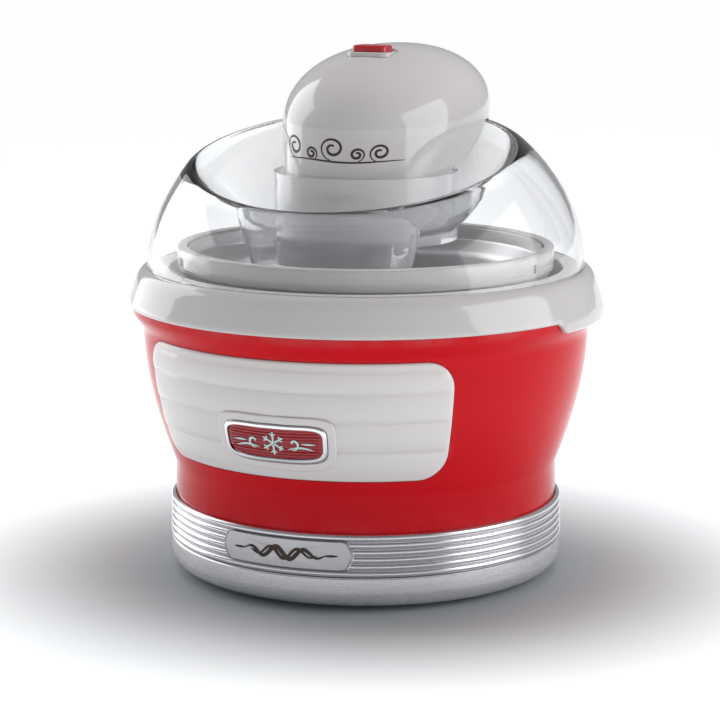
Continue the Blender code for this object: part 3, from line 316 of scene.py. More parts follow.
def lofted(name, loops, look=None, sharp=40, triangles=False):
    bm = bmesh.new()
    rows = [[bm.verts.new(p) for p in loop] for loop in loops]
    count = len(rows[0])
    for low, high in zip(rows, rows[1:]):
        for i in range(count):
            j = (i + 1) % count
            bm.faces.new((low[i], low[j], high[j], high[i]))
    bm.faces.new(rows[0])
    bm.faces.new(rows[-1])
    if triangles:
        bmesh.ops.triangulate(bm, faces=bm.faces)
    return add(name, bm, look, sharp)


def prism(name, outline, low, high):
    """A solid that stands on an (x, y) outline."""
    return lofted(name, [[(x, y, z) for x, y in outline] for z in (low, high)])


def cylinder(name, radius, low, high, steps=ROUND, centre=(0, 0)):
    return lofted(name, [circle(radius, z, steps, centre) for z in (low, high)])


def plated(name, back, front, look=None, sharp=40, triangles=False):
    """A solid between two grids of points."""
    bm = bmesh.new()
    back, front = ([[bm.verts.new(point) for point in row] for row in grid] for grid in (back, front))
    for grid in (back, front):
        for low, high in zip(grid, grid[1:]):
            for i in range(len(low) - 1):
                bm.faces.new((low[i], low[i + 1], high[i + 1], high[i]))
    for i in range(len(back[0]) - 1):
        for end in (0, -1):
            bm.faces.new((back[end][i], back[end][i + 1], front[end][i + 1], front[end][i]))
    for j in range(len(back) - 1):
        for end in (0, -1):
            bm.faces.new((back[j][end], back[j + 1][end], front[j + 1][end], front[j][end]))
    if triangles:
        bmesh.ops.triangulate(bm, faces=bm.faces)
    return add(name, bm, look, sharp)


def cut(target, operation, *others):
    """Applies a Boolean with each of the other objects, and removes them."""
    for other in others:
        modifier = target.modifiers.new("join", "BOOLEAN")
        modifier.operation = operation
        modifier.object = other
        settle(target)
        bpy.data.objects.remove(other)
    return target


def settle(obj):
    """Applies every modifier of an object."""
    graph = bpy.context.evaluated_depsgraph_get()
    graph.update()
    mesh = bpy.data.meshes.new_from_object(obj.evaluated_get(graph))
    materials = list(obj.data.materials)
    obj.modifiers.clear()
    obj.data = mesh
    if materials:
        mesh.materials.clear()
        for material in materials:
            mesh.materials.append(material)


def smooth(obj, angle):
    obj.data.shade_smooth()
    obj.data.set_sharp_from_angle(angle=math.radians(angle))
    return obj


def circle(radius, z, steps=ROUND, centre=(0, 0)):
    turns = [TAU * i / steps for i in range(steps)]
    return [(centre[0] + radius * math.sin(a), centre[1] - radius * math.cos(a), z) for a in turns]


def ellipse(half_width, half_depth, y, z, steps=ROUND):
    turns = [TAU * i / steps for i in range(steps)]
    return [(half_width * math.sin(a), y - half_depth * math.cos(a), z) for a in turns]


def shifted(loops, depth):
    """Loops moved inwards, at right angles to the surface that they span."""
    moved = []
    last = len(loops) - 1
    for i, loop in enumerate(loops):
        below, above = loops[max(i - 1, 0)], loops[min(i + 1, last)]
        row = []
        for j, point in enumerate(loop):
            along = Vector(loop[(j + 1) % len(loop)]) - Vector(loop[j - 1])
            across = Vector(above[j]) - Vector(below[j])
            row.append(tuple(Vector(point) - along.cross(across).normalized() * depth))
        moved.append(row)
    return moved


def on_cylinder(angle, radius, z):
    return (radius * math.sin(angle), -radius * math.cos(angle), z)


def place(obj, body, *nodes, slot=None):
    """Puts a piece on its body, in place of the CAD nodes that it stands for."""
    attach(obj, body)
    if nodes:
        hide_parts(*nodes)
    return obj


def rounded_rectangle(width, depth, corner, centre):
    points = []
    steps = 8
    for quarter, (sx, sy) in enumerate(((1, 1), (-1, 1), (-1, -1), (1, -1))):
        for step in range(steps + 1):
            a = math.pi / 2 * (quarter + step / steps)
            x = sx * (width / 2 - corner) + corner * math.cos(a)
            y = sy * (depth / 2 - corner) + corner * math.sin(a)
            points.append((centre[0] + x, centre[1] + y))
    return points


# --- silver base -------------------------------------------------------------------------------
def body_radius(z):
    if z <= NECK_TOP_Z:
        return NECK_RADIUS
    share = max(BODY_TOP_Z - z, 0) / (BODY_TOP_Z - NECK_TOP_Z)
    return BODY_RADIUS - (BODY_RADIUS - NECK_RADIUS) * share**BODY_CURVE


def band_radius(z):
    share = (z - BAND_BOTTOM_Z) / (BAND_TOP_Z - BAND_BOTTOM_Z) * BAND_RIBS
    groove = 1 - abs(math.sin(math.pi * share)) ** 0.5
    return BAND_RADIUS - 1.5 * MM * groove - 0.5 * MM * (share / BAND_RIBS)


def make_tray():
    edge, spigot = 8 * MM, 88 * MM
    middle = (TRAY_RADIUS - edge, TRAY_BOTTOM_Z + edge)
    turns = [math.pi / 2 * i / 12 for i in range(13)]
    arc = [(middle[0] + edge * math.sin(a), middle[1] - edge * math.cos(a)) for a in turns]
    floor_z = TRAY_BOTTOM_Z + 2.6 * MM
    lip = [(TRAY_RADIUS, TRAY_TOP_Z - 0.6 * MM), (TRAY_RADIUS - 0.6 * MM, TRAY_TOP_Z)]
    collar = [(spigot + 2 * MM, z) for z in (TRAY_TOP_Z, TRAY_TOP_Z + 9 * MM)]
    inside = [(spigot, TRAY_TOP_Z + 9 * MM), (spigot, TRAY_TOP_Z - 2 * MM)]
    inside += [(spigot - 6 * MM, floor_z), (0, floor_z)]
    tray = turned("silver_tray", [(0, TRAY_BOTTOM_Z), (60 * MM, TRAY_BOTTOM_Z)] + arc + lip + collar + inside)
    for number in range(4):
        a = number * math.pi / 2
        foot_at, screw_at = on_cylinder(a, 70 * MM, 0)[:2], on_cylinder(a + math.pi / 4, 76 * MM, 0)[:2]
        cut(tray, "DIFFERENCE", cylinder(f"pocket_{number}", 8.3 * MM, 0, 3.8 * MM, 32, foot_at))
        cut(tray, "DIFFERENCE", cylinder(f"hole_{number}", 1.8 * MM, 0, 20 * MM, 16, screw_at))
    place(smooth(give(tray, "base"), 35), "base", "base_tray", slot="silver")


def plate_outline(half_angle, low, high, bow):
    """A name plate in (angle, z): level edges, and ends that swell out in a shallow bracket."""
    middle, half = (low + high) / 2, (high - low) / 2
    points = []
    rows = 24
    for side in (1, -1):
        for i in range(rows + 1):
            s = -1 + 2 * i / rows
            corner = 1 - (1 - abs(s)) / 0.16 if abs(s) > 0.84 else 0
            swell = bow * math.cos(s * math.pi / 2) ** 1.5
            inset = 0.011 * (1 - math.sqrt(max(1 - corner**2, 0)))
            points.append((side * (half_angle - inset + swell), middle + side * s * half))
    return points


def wrapped_outline(name, outline, middle, back, front, edge=0.0, look=None):
    """A plate with an (angle, z) outline, wrapped on the band: rings from its middle out, back and front."""
    layers = [(s, back) for s in (0.02, 0.35, 0.65, 0.85, 1)]
    if edge:
        layers += [(1, front - edge)]
        layers += [(1 - 0.012 * k, front - edge + edge * math.sin(k * math.pi / 6)) for k in (1, 2, 3)]
        layers += [(s, front) for s in (0.94, 0.85, 0.65, 0.35, 0.02)]
    else:
        layers += [(s, front) for s in (1, 0.85, 0.65, 0.35, 0.02)]
    loops = []
    for share, lift in layers:
        loop = []
        for angle, z in outline:
            loop.append(on_cylinder(angle * share, BAND_RADIUS + lift, middle + (z - middle) * share))
        loops.append(loop)
    return lofted(name, loops, look)


def filled_outline(outline):
    """Adds points so that no step of the outline is long, for a plate that bends."""
    points = []
    usual_radius, longest = 0.1, 4 * MM
    for (a0, z0), (a1, z1) in zip(outline, outline[1:] + outline[:1]):
        steps = max(1, math.ceil(math.hypot((a1 - a0) * usual_radius, z1 - z0) / longest))
        points += [(a0 + (a1 - a0) * i / steps, z0 + (z1 - z0) * i / steps) for i in range(steps)]
    return points


def make_band():
    steps = BAND_RIBS * 8
    heights = [BAND_BOTTOM_Z + (BAND_TOP_Z - BAND_BOTTOM_Z) * i / steps for i in range(steps + 1)]
    inner = NECK_RADIUS + 0.3 * MM
    profile = [(inner, BAND_BOTTOM_Z)] + [(band_radius(z), z) for z in heights] + [(inner, BAND_TOP_Z)]
    band = turned("ribbed_band", profile)
    low, high, gap = 21 * MM, 34.6 * MM, 0.3 * MM
    middle = (low + high) / 2
    swell = math.radians(1.6)
    grown = filled_outline(plate_outline(math.radians(18.6), low - gap, high + gap, swell))
    cut(band, "DIFFERENCE", wrapped_outline("plate_recess", grown, middle, -1.3 * MM, 3 * MM))
    place(smooth(give(band, "silver"), 60), "base", "base_band", slot="silver")
    shape = filled_outline(plate_outline(math.radians(18.3), low, high, swell))
    plate = wrapped_outline("wrapped_plate", shape, middle, -1.0 * MM, 0.1 * MM, 0.35 * MM, "plate")
    place(plate, "base", "name_plate", slot="silver")
    rim = []
    for share, lift in ((0.95, -0.05), (0.985, 0.3), (1.0, 0.2), (1.0, -0.2), (0.95, -0.2)):
        turn, radius = 1 - (1 - share) * 0.35, BAND_RADIUS + lift * MM
        rim.append([on_cylinder(a * turn, radius, middle + (z - middle) * share) for a, z in shape])
    place(ring_loft("plate_rim", rim, "plate"), "base", slot="silver")
    for name, curve in plate_ornament(middle):
        print_on = ribbon(name, curve, lambda z: BAND_RADIUS + 0.14 * MM, 0.32 * MM, "ink")
        place(print_on, "base", slot="black")


def ring_loft(name, loops, look):
    """A closed ring: loops joined one to the next and the last to the first."""
    bm = bmesh.new()
    rows = [[bm.verts.new(p) for p in loop] for loop in loops]
    count = len(rows[0])
    for low, high in zip(rows, rows[1:] + rows[:1]):
        for i in range(count):
            j = (i + 1) % count
            bm.faces.new((low[i], low[j], high[j], high[i]))
    return add(name, bm, look)


def ribbon(name, stroke, surface, lift, look):
    """A raised print that follows a surface: stroke holds (arc, z, half width) along its length."""
    rows = []
    last = len(stroke) - 1
    for i, (arc, z, half) in enumerate(stroke):
        before, after = stroke[max(i - 1, 0)], stroke[min(i + 1, last)]
        along = Vector((after[0] - before[0], after[1] - before[1]))
        side = Vector((-along.y, along.x)).normalized() if along.length else Vector((0, 1))
        row = []
        rounded = ((-1, -0.12), (-1, 0.6), (-0.5, 0.95), (0, 1), (0.5, 0.95), (1, 0.6), (1, -0.12))
        for share, height in rounded:
            a, h = arc + side.x * half * share, z + side.y * half * share
            r = surface(h)
            row.append(on_cylinder(a / r, r + lift * height, h))
        rows.append(row)
    return lofted(name, rows, look, 60)


def curl(cx, cz, radius, start, turn, thick, steps=40):
    """A scroll: a spiral that opens from (cx, cz), then thins away. turn is in radians, signed."""
    stroke = []
    for i in range(steps + 1):
        s = i / steps
        a = start + turn * s
        r = radius * (0.22 + 0.78 * s)
        width = thick * (0.35 + 0.65 * math.sin(math.pi * min(1, 0.12 + s * 0.9)) ** 0.8)
        stroke.append((cx + r * math.cos(a), cz + r * math.sin(a), width))
    return stroke


def wave(x0, x1, z, height, thick, cycles=1.0, steps=40):
    """A wavy stroke between two arcs, thick in its middle and pointed at both ends."""
    stroke = []
    for i in range(steps + 1):
        s = i / steps
        rise = height * math.sin(TAU * cycles * s) * math.sin(math.pi * s) ** 0.5
        stroke.append((x0 + (x1 - x0) * s, z + rise, thick * (0.12 + 0.88 * math.sin(math.pi * s) ** 0.7)))
    return stroke


def plate_ornament(z):
    """Dark waves and bars across the name plate: decoration, with no letters."""
    return (
        ("plate_wave_long", wave(-21 * MM, 21 * MM, z, 2.7 * MM, 1.05 * MM, 3.0, 150)),
        ("plate_wave_twin", wave(-17 * MM, 17 * MM, z, -2.7 * MM, 0.7 * MM, 2.43, 130)),
        ("plate_bar_left", wave(-26.5 * MM, -20 * MM, z, 0, 0.5 * MM)),
        ("plate_bar_right", wave(20 * MM, 26.5 * MM, z, 0, 0.5 * MM)),
    )


# --- body --------------------------------------------------------------------------------------
def panel_outline(half_angle, low, high, corner):
    points = []
    for sx, sz in ((1, 1), (-1, 1), (-1, -1), (1, -1)):
        for step in range(13):
            a = math.pi / 2 * step / 12
            inward = (math.cos(a), math.sin(a)) if sx * sz > 0 else (math.sin(a), math.cos(a))
            z = (high - corner if sz > 0 else low + corner) + sz * corner * inward[1]
            reach = half_angle - corner * (1 - inward[0]) / body_radius(z)
            points.append((sx * reach, z))
    return points


def make_body():
    low = TRAY_TOP_Z + 0.3 * MM
    steps = 24
    heights = [NECK_TOP_Z + (BODY_TOP_Z - NECK_TOP_Z) * i / steps for i in range(steps + 1)]
    outer = [(body_radius(z), z) for z in heights]
    flange = [(BODY_RADIUS + 1.4 * MM, 122.4 * MM), (BODY_RADIUS + 3 * MM, 124.5 * MM)]
    flange += [(112.3 * MM, 126.7 * MM), (FLANGE_RADIUS, 128.5 * MM), (FLANGE_RADIUS, FLANGE_Z)]
    wall = 2.4 * MM
    inner = [(r - wall, z) for r, z in reversed(outer)]
    profile = [(NECK_RADIUS, low)] + outer + flange + [(BODY_RADIUS - wall, FLANGE_Z)] + inner
    shell = turned("red_body", profile + [(NECK_RADIUS - wall, low)])
    gap, half_angle = 0.3 * MM, PANEL_HALF_ANGLE + 0.0028
    outline = filled_outline(
        panel_outline(half_angle, PANEL_LOW_Z - gap, PANEL_HIGH_Z + gap, PANEL_CORNER + gap)
    )
    bm = bmesh.new()
    lifts = (-0.9 * MM, 3 * MM)
    rows = [[bm.verts.new(on_cylinder(a, body_radius(z) + lift, z)) for a, z in outline] for lift in lifts]
    for i in range(len(outline)):
        j = (i + 1) % len(outline)
        bm.faces.new((rows[0][i], rows[0][j], rows[1][j], rows[1][i]))
    for row, lift in zip(rows, lifts):
        fill_panel(bm, row, outline, lift)
    cut(shell, "DIFFERENCE", add("panel_recess", bm))
    place(smooth(give(shell, "red"), 32), "base", "body_shell", slot="red")


def fill_panel(bm, row, outline, lift):
    """Fills a loop on the body with rings that shrink towards the panel's middle."""
    middle = (PANEL_LOW_Z + PANEL_HIGH_Z) / 2
    last = row
    for share in (0.9, 0.75, 0.55, 0.3, 0.02):
        fresh = []
        for a, z in outline:
            here = middle + (z - middle) * share
            fresh.append(bm.verts.new(on_cylinder(a * share, body_radius(here) + lift, here)))
        for i in range(len(row)):
            j = (i + 1) % len(row)
            bm.faces.new((last[i], last[j], fresh[j], fresh[i]))
        last = fresh
    bm.faces.new(last)


def panel_height(z):
    """How far the panel's face stands above the body: four level louvres, each fuller towards its top."""
    share = (z - PANEL_LOW_Z) / (PANEL_HIGH_Z - PANEL_LOW_Z) * PANEL_RIBS
    inside = share - math.floor(share)
    louvre = math.sin(math.pi * inside**0.62) ** 0.75 if 0 < inside < 1 else 0
    return 0.25 * MM + 1.3 * MM * louvre


def make_panel():
    across, up = 90, 96
    back, front = [], []
    for j in range(up + 1):
        s = j / up
        eased = 0.5 - 0.5 * math.cos(math.pi * s)
        z = PANEL_LOW_Z + (PANEL_HIGH_Z - PANEL_LOW_Z) * (0.6 * s + 0.4 * eased)
        r = body_radius(z)
        near = min(z - PANEL_LOW_Z, PANEL_HIGH_Z - z)
        left = max(PANEL_CORNER - near, 0)
        inset = PANEL_CORNER - math.sqrt(max(PANEL_CORNER**2 - left**2, 0))
        reach = PANEL_HALF_ANGLE - inset / r
        rows = [], []
        for i in range(across + 1):
            t = 2 * i / across - 1
            angle = reach * (0.7 * t + 0.3 * math.sin(t * math.pi / 2))
            edge = min(near, (reach - abs(angle)) * r)
            rounding = min(edge / (1.4 * MM), 1)
            fade = min(edge / (5 * MM), 1)
            full = 0.9 * MM + (panel_height(z) - 0.9 * MM) * fade
            lift = full * math.sqrt(max(1 - (1 - rounding) ** 2, 0.02))
            rows[0].append(on_cylinder(angle, r - 0.6 * MM, z))
            rows[1].append(on_cylinder(angle, r + lift, z))
        back.append(rows[0])
        front.append(rows[1])
    panel = plated("louvred_panel", back, front, triangles=True)
    cut(panel, "UNION", badge_layer("surround", 4 * MM, -0.2 * MM, 2.6 * MM, 0.9 * MM))
    cut(panel, "DIFFERENCE", badge_layer("pocket", 0.3 * MM, 0.7 * MM, 6 * MM))
    place(smooth(give(panel, "panel"), 38), "base", "front_panel", slot="white_gloss")


def badge_shape(half_width, half_height, bow):
    """The badge's (arc, rise) outline: a rounded oblong whose middle hangs lower than its ends."""
    points = []
    for a in [TAU * (i + 0.5) / 120 for i in range(120)]:
        c, s = math.cos(a), math.sin(a)
        x = half_width * math.copysign(abs(c) ** 0.36, c)
        z = half_height * math.copysign(abs(s) ** 0.42, s)
        points.append((x, z - bow * (1 - (x / half_width) ** 2)))
    return points


def badge_layer(name, spread, back, front, edge=0.0):
    """A plate of the badge's shape that follows the body. edge rounds the rim of its face."""
    width, height = BADGE_HALF_WIDTH + spread, BADGE_HALF_HEIGHT + spread
    outline = badge_shape(width, height, 0.8 * MM)
    rings = [(share, 0, back) for share in (0.04, 0.35, 0.7, 1)]
    rings.append((1, 0, front - edge))
    for a in (k * math.pi / 8 for k in (1, 2, 3, 4) if edge):
        rings.append((1, edge * (1 - math.cos(a)), front - edge + edge * math.sin(a)))
    rings += [(share, 0, front) for share in (0.7, 0.35, 0.04)]
    loops = []
    for share, inset, lift in rings:
        loop = []
        for arc, rise in outline:
            sx, sz = share * (1 - inset / width), share * (1 - inset / height)
            z = BADGE_Z + rise * sz
            loop.append(on_cylinder(arc * sx / body_radius(BADGE_Z), body_radius(z) + lift, z))
        loops.append(loop)
    return lofted(name, loops)


def make_badge():
    bezel = badge_layer("chrome_bezel", 0, 1 * MM, 3.6 * MM, 0.9 * MM)
    cut(bezel, "DIFFERENCE", badge_layer("window", -1.8 * MM, 1.7 * MM, 6 * MM))
    place(smooth(give(bezel, "chrome"), 50), "base", "badge_bezel", slot="chrome")
    width, height = BADGE_HALF_WIDTH - 2.0 * MM, BADGE_HALF_HEIGHT - 2.0 * MM
    back, front = [], []
    across, up = 60, 72
    for t in (-1 + 2 * j / up for j in range(up + 1)):
        reach = width * (1 - abs(t) ** 4.2) ** 0.16
        rows = [], []
        for s in (-1 + 2 * i / across for i in range(across + 1)):
            angle = reach * s / body_radius(BADGE_Z)
            z = BADGE_Z + height * t - 0.7 * MM * (1 - s * s)
            rib = abs(math.cos(math.pi * t * 5)) ** 0.7
            end = min(1, (1 - abs(t)) * 10, (1 - abs(s)) * 16)
            rows[0].append(on_cylinder(angle, body_radius(z) + 2 * MM, z))
            rows[1].append(on_cylinder(angle, body_radius(z) + 2.45 * MM + 0.5 * MM * rib * end, z))
        back.append(rows[0])
        front.append(rows[1])
    place(plated("ribbed_badge", back, front, "badge", 70), "base", "badge_plate", slot="red")
    z = BADGE_Z - 0.5 * MM
    for number, (name, stroke) in enumerate(badge_ornament(z)):
        piece = ribbon(name, stroke, lambda height: body_radius(height) + 3.0 * MM, 0.45 * MM, "mint")
        place(piece, "base", *(("badge_emblem",) if number == 0 else ()), slot="mint")


def badge_ornament(z):
    """A snow crystal with a scroll and a bar on each side: decoration, with no letters."""
    strokes = []
    for arm in range(6):
        a = math.pi / 2 + arm * math.pi / 3
        c, s = math.cos(a), math.sin(a)
        start = 0.0 if arm < 3 else 0.7
        line = [(c * r * MM, z + s * r * MM, 0.42 * MM) for r in (start, 2, 4, 5.4)]
        strokes.append((f"crystal_arm_{arm}", line))
        for side in (1, -1):
            b = a + side * 0.85
            barb = [
                ((c * 3.3 + math.cos(b) * r) * MM, z + (s * 3.3 + math.sin(b) * r) * MM, 0.3 * MM)
                for r in (0.25, 1.1, 1.9)
            ]
            strokes.append((f"crystal_barb_{arm}_{'out' if side > 0 else 'in'}", barb))
    for side, word in ((1, "right"), (-1, "left")):
        scroll = curl(9.8 * MM, z + 0.3 * MM, 3.1 * MM, math.pi * 0.9, -4.6, 0.55 * MM)
        strokes.append((f"badge_scroll_{word}", [(side * x, h, w) for x, h, w in scroll]))
        sweep = wave(7.0 * MM, 19.5 * MM, z - 2.3 * MM, 0.9 * MM, 0.5 * MM, 0.5)
        strokes.append((f"badge_sweep_{word}", [(side * x, h, w) for x, h, w in sweep]))
        bar = wave(13.5 * MM, 20.5 * MM, z + 0.5 * MM, 0, 0.45 * MM)
        strokes.append((f"badge_bar_{word}", [(side * x, h, w) for x, h, w in bar]))
    return strokes


# --- white collar ring -------------------------------------------------------------------------
def make_ring():
    seat = 95.2 * MM
    foot = [(FLANGE_RADIUS - 9 * MM, RING_LOW_Z), (RING_RADIUS - 0.5 * MM, RING_LOW_Z)]
    foot += [(RING_RADIUS, RING_LOW_Z + 0.6 * MM), (RING_RADIUS, RING_LOW_Z + 2 * MM)]
    shoulder = [(114.3, 135.2), (113.5, 138), (112.4, 141), (111.8, 143)]
    shoulder += [(110.9, 145), (109.8, 146.8), (108.4, 148.1)]
    top = [(106.8 * MM, RING_HIGH_Z), (seat + 0.6 * MM, RING_HIGH_Z), (seat, RING_HIGH_Z - 0.6 * MM)]
    skirt = [(seat, RING_LOW_Z - 1.2 * MM), (seat + 3 * MM, RING_LOW_Z - 1.2 * MM)]
    under = [(seat + 3 * MM, RING_HIGH_Z - 3 * MM), (105 * MM, RING_HIGH_Z - 3 * MM), (109 * MM, 141 * MM)]
    under += [(r, RING_LOW_Z + 2.5 * MM) for r in (110.6 * MM, FLANGE_RADIUS - 9 * MM)]
    ring = turned("white_ring", foot + [(r * MM, z * MM) for r, z in shoulder] + top + skirt + under)
    for side, middle in (("right", math.pi / 2), ("left", -math.pi / 2)):
        steps = 48
        rows = []
        for i in range(steps + 1):
            t = 2 * i / steps - 1
            near = (1 - abs(t)) * TAB_HALF_ANGLE * RING_RADIUS
            slope = min(1, max(0, near / (6.5 * MM)))
            drop = 0.4 * MM + (TAB_DEPTH - 0.4 * MM) * slope * slope * (3 - 2 * slope)
            out = 0.9 * MM * min(1, near / (1.5 * MM)) ** 0.5
            low = RING_LOW_Z - drop
            section = (
                (FLANGE_RADIUS + 0.3 * MM, low),
                (RING_RADIUS + out - 0.6 * MM, low),
                (RING_RADIUS + out, low + 0.7 * MM),
                (RING_RADIUS + out * 0.75, RING_LOW_Z - 0.6 * MM),
                (RING_RADIUS + out * 0.25, RING_LOW_Z + 1.2 * MM),
                (RING_RADIUS - 0.02 * MM, RING_LOW_Z + 2.2 * MM),
                (FLANGE_RADIUS + 0.3 * MM, RING_LOW_Z + 3.0 * MM),
            )
            rows.append([on_cylinder(middle + TAB_HALF_ANGLE * t, r, z) for r, z in section])
        cut(ring, "UNION", lofted(f"tab_{side}", rows))
    place(smooth(give(ring, "white"), 38), "base", "collar_ring", slot="white_gloss")


# --- freezer bowl and paddle -------------------------------------------------------------------
def make_bowl():
    wall = 1.8 * MM
    low, high = 80 * MM, 89 * MM
    base_z = 41.2 * MM
    outside = [(0, base_z), (low - 4 * MM, base_z), (low, base_z + 4 * MM), (high, RIM_LOW_Z - 0.3 * MM)]
    inside = [(high - wall, RIM_LOW_Z - 0.3 * MM), (low - wall, base_z + 5 * MM)]
    inside += [(low - 5 * MM, base_z + wall), (0, base_z + wall)]
    outer = softened(outside + inside, (0, 3 * MM, 3 * MM, 0, 0, 2 * MM, 2 * MM, 0))
    place(turned("bowl_cup", outer, "cream"), "bowl", "bowl_outer_wall", slot="white_matte")
    sheet, edge_z = 1.4 * MM, RIM_HIGH_Z - 1.2 * MM
    outside = [
        (0, BOWL_FLOOR_Z - sheet),
        (BOWL_INNER_LOW - 3 * MM, BOWL_FLOOR_Z - sheet),
        (BOWL_INNER_LOW + sheet, BOWL_FLOOR_Z + 3 * MM),
        (BOWL_INNER_HIGH + sheet, RIM_LOW_Z - 4 * MM),
        (RIM_INNER_RADIUS - 0.3 * MM, RIM_LOW_Z + 2 * MM),
        (RIM_INNER_RADIUS - 0.3 * MM, edge_z),
    ]
    inside = [
        (RIM_INNER_RADIUS - 1.4 * MM, edge_z),
        (RIM_INNER_RADIUS - 1.4 * MM, RIM_LOW_Z + 3 * MM),
        (BOWL_INNER_HIGH, RIM_LOW_Z - 3 * MM),
        (BOWL_INNER_LOW, BOWL_FLOOR_Z + 4 * MM),
        (BOWL_INNER_LOW - 4 * MM, BOWL_FLOOR_Z),
        (0, BOWL_FLOOR_Z),
    ]
    radii = [r * MM for r in (0, 2, 2, 1.5, 0.8, 0.4, 0.4, 0.8, 2.5, 3, 3, 0)]
    inner = softened(outside + inside, radii)
    place(turned("bowl_lining", inner, "bowl", sharp=50), "bowl", "bowl_inner_wall", slot="aluminium")
    corners = [(RIM_INNER_RADIUS, RIM_LOW_Z + 1.5 * MM), (RIM_RADIUS, RIM_LOW_Z)]
    corners += [(RIM_RADIUS, RIM_HIGH_Z), (RIM_INNER_RADIUS, RIM_HIGH_Z)]
    rim = turned("bowl_edge", softened(corners, (0, 0.5 * MM, 1.4 * MM, 1.0 * MM), 5))
    low, high = RIM_LOW_Z + 2.4 * MM, RIM_LOW_Z + 6.4 * MM
    inside, outside = RIM_RADIUS - 1 * MM, RIM_RADIUS + 2 * MM
    section = ((inside, low), (outside, low), (outside, high), (inside, high))
    for number, start in enumerate((60, 180, 300)):
        first, last = math.radians(start + 8), math.radians(start + 24)
        angles = [first + (last - first) * i / 16 for i in range(17)]
        channel = lofted(f"channel_{number}", [[on_cylinder(a, r, z) for r, z in section] for a in angles])
        cut(rim, "DIFFERENCE", channel)
    place(smooth(give(rim, "white"), 45), "bowl", "bowl_rim", slot="white_gloss")


def make_paddle():
    post_low, post_high = BOWL_FLOOR_Z + 1.5 * MM, 156 * MM
    outline = ((7.5 * MM, post_low), (7.5 * MM, 138 * MM), (9 * MM, 142 * MM), (9 * MM, post_high))
    paddle = lofted("churn_paddle", [circle(r, z, 40) for r, z in outline])
    arm, blade_width, half = 9 * MM, 8 * MM, 2 * MM
    reach = BOWL_INNER_LOW - 4 * MM
    low, high = BOWL_FLOOR_Z + 2 * MM, 128 * MM
    for side in (1, -1):
        for name, z0, z1 in (("low_arm", low, low + arm), ("high_arm", high - arm, high)):
            corners = ((2 * MM, -1.8 * MM), (reach, -1.8 * MM), (reach, 1.8 * MM), (2 * MM, 1.8 * MM))
            flat = [(side * x, y) for x, y in corners]
            cut(paddle, "UNION", prism(f"{name}_{side}", flat, z0, z1))
        lean = 2.2 * MM
        blade = []
        for i in range(9):
            s = i / 8
            z = low - 0.4 * MM + (high + 1.0 * MM - low) * s
            y = side * lean * (2 * s - 1)
            heel, tip, skew = side * (reach - blade_width), side * (reach + 1 * MM), side * 0.8 * MM
            section = ((heel, y - half), (tip, y - half - skew), (tip, y + half - skew), (heel, y + half))
            blade.append([(x, depth, z) for x, depth in section])
        cut(paddle, "UNION", lofted(f"blade_{side}", blade))
    socket = 3.8 * MM
    square = [(socket, socket), (-socket, socket), (-socket, -socket), (socket, -socket)]
    cut(paddle, "DIFFERENCE", prism("socket", square, 138 * MM, 170 * MM))
    rounding = paddle.modifiers.new("rounding", "BEVEL")
    rounding.width = 0.5 * MM
    rounding.segments = 2
    rounding.limit_method = "ANGLE"
    settle(paddle)
    place(smooth(give(paddle, "cream"), 40), "paddle", "paddle", slot="white_matte")


# --- clear lid ---------------------------------------------------------------------------------
def crest_loop():
    ridge = ellipse(CREST_HALF_WIDTH, CREST_HALF_LENGTH, CREST_Y, CREST_Z)
    bowed = [(x, y - CREST_BOW * (x / CREST_HALF_WIDTH) ** 2, z) for x, y, z in ridge]
    return [(x, y, z + CREST_SLOPE * y + CREST_BEND * x**2) for x, y, z in bowed]


def lid_loop(share):
    loop = []
    for (x0, y0, low), (x1, y1, high) in zip(circle(LID_RADIUS, LID_BASE_Z), crest_loop()):
        taper = [1 - math.sqrt(1 - ((high - low) * s / DOME_HEIGHT) ** 2) for s in (share, 1)]
        drawn_in = taper[0] / taper[1]
        loop.append((x0 + (x1 - x0) * drawn_in, y0 + (y1 - y0) * drawn_in, low + (high - low) * share))
    return loop


def crater_loop(share, lift=0.0):
    loop = []
    for (x0, y0, top), (x1, y1, _) in zip(crest_loop(), circle(WELL_RADIUS - 2 * MM, 0)):
        floor = max(CRATER_Z + CRATER_SLOPE * y1, CRATER_LOWEST_Z)
        fall = math.sin(share * math.pi / 2) ** 1.25
        loop.append((x0 + (x1 - x0) * share, y0 + (y1 - y0) * share, top + (floor - top) * fall + lift))
    return loop


DOME_SHARES = (0, 0.07, 0.14, 0.22, 0.3, 0.4, 0.5, 0.6, 0.7, 0.79, 0.87)


def lid_surface(rounded=True):
    """Loops of the lid's outside, over the crest and into the crater. rounded softens the crest's edge."""
    dome = [lid_loop(s) for s in DOME_SHARES]
    crater = [crater_loop(s) for s in (0.2, 0.3, 0.45, 0.6, 0.8, 1)]
    if not rounded:
        return dome + [lid_loop(0.93), lid_loop(1), crater_loop(0.1)] + crater
    before, crest, after = lid_loop(0.93), lid_loop(1), crater_loop(0.09)
    over = []
    for t in (0, 0.15, 0.3, 0.45, 0.6, 0.8, 1):
        row = []
        near, middle, far = (1 - t) ** 2, 2 * t * (1 - t), t * t
        for a, b, c in zip(before, crest, after):
            row.append(tuple(near * p + middle * q + far * r for p, q, r in zip(a, b, c)))
        over.append(row)
    return dome + over + crater


def lid_solid(name, depth):
    if not depth:
        return lofted(name, lid_surface(), triangles=True)
    loops = shifted(lid_surface(False), depth)
    return lofted(name, [[(x, y, LID_BASE_Z - 2 * MM) for x, y, _ in loops[0]]] + loops, triangles=True)


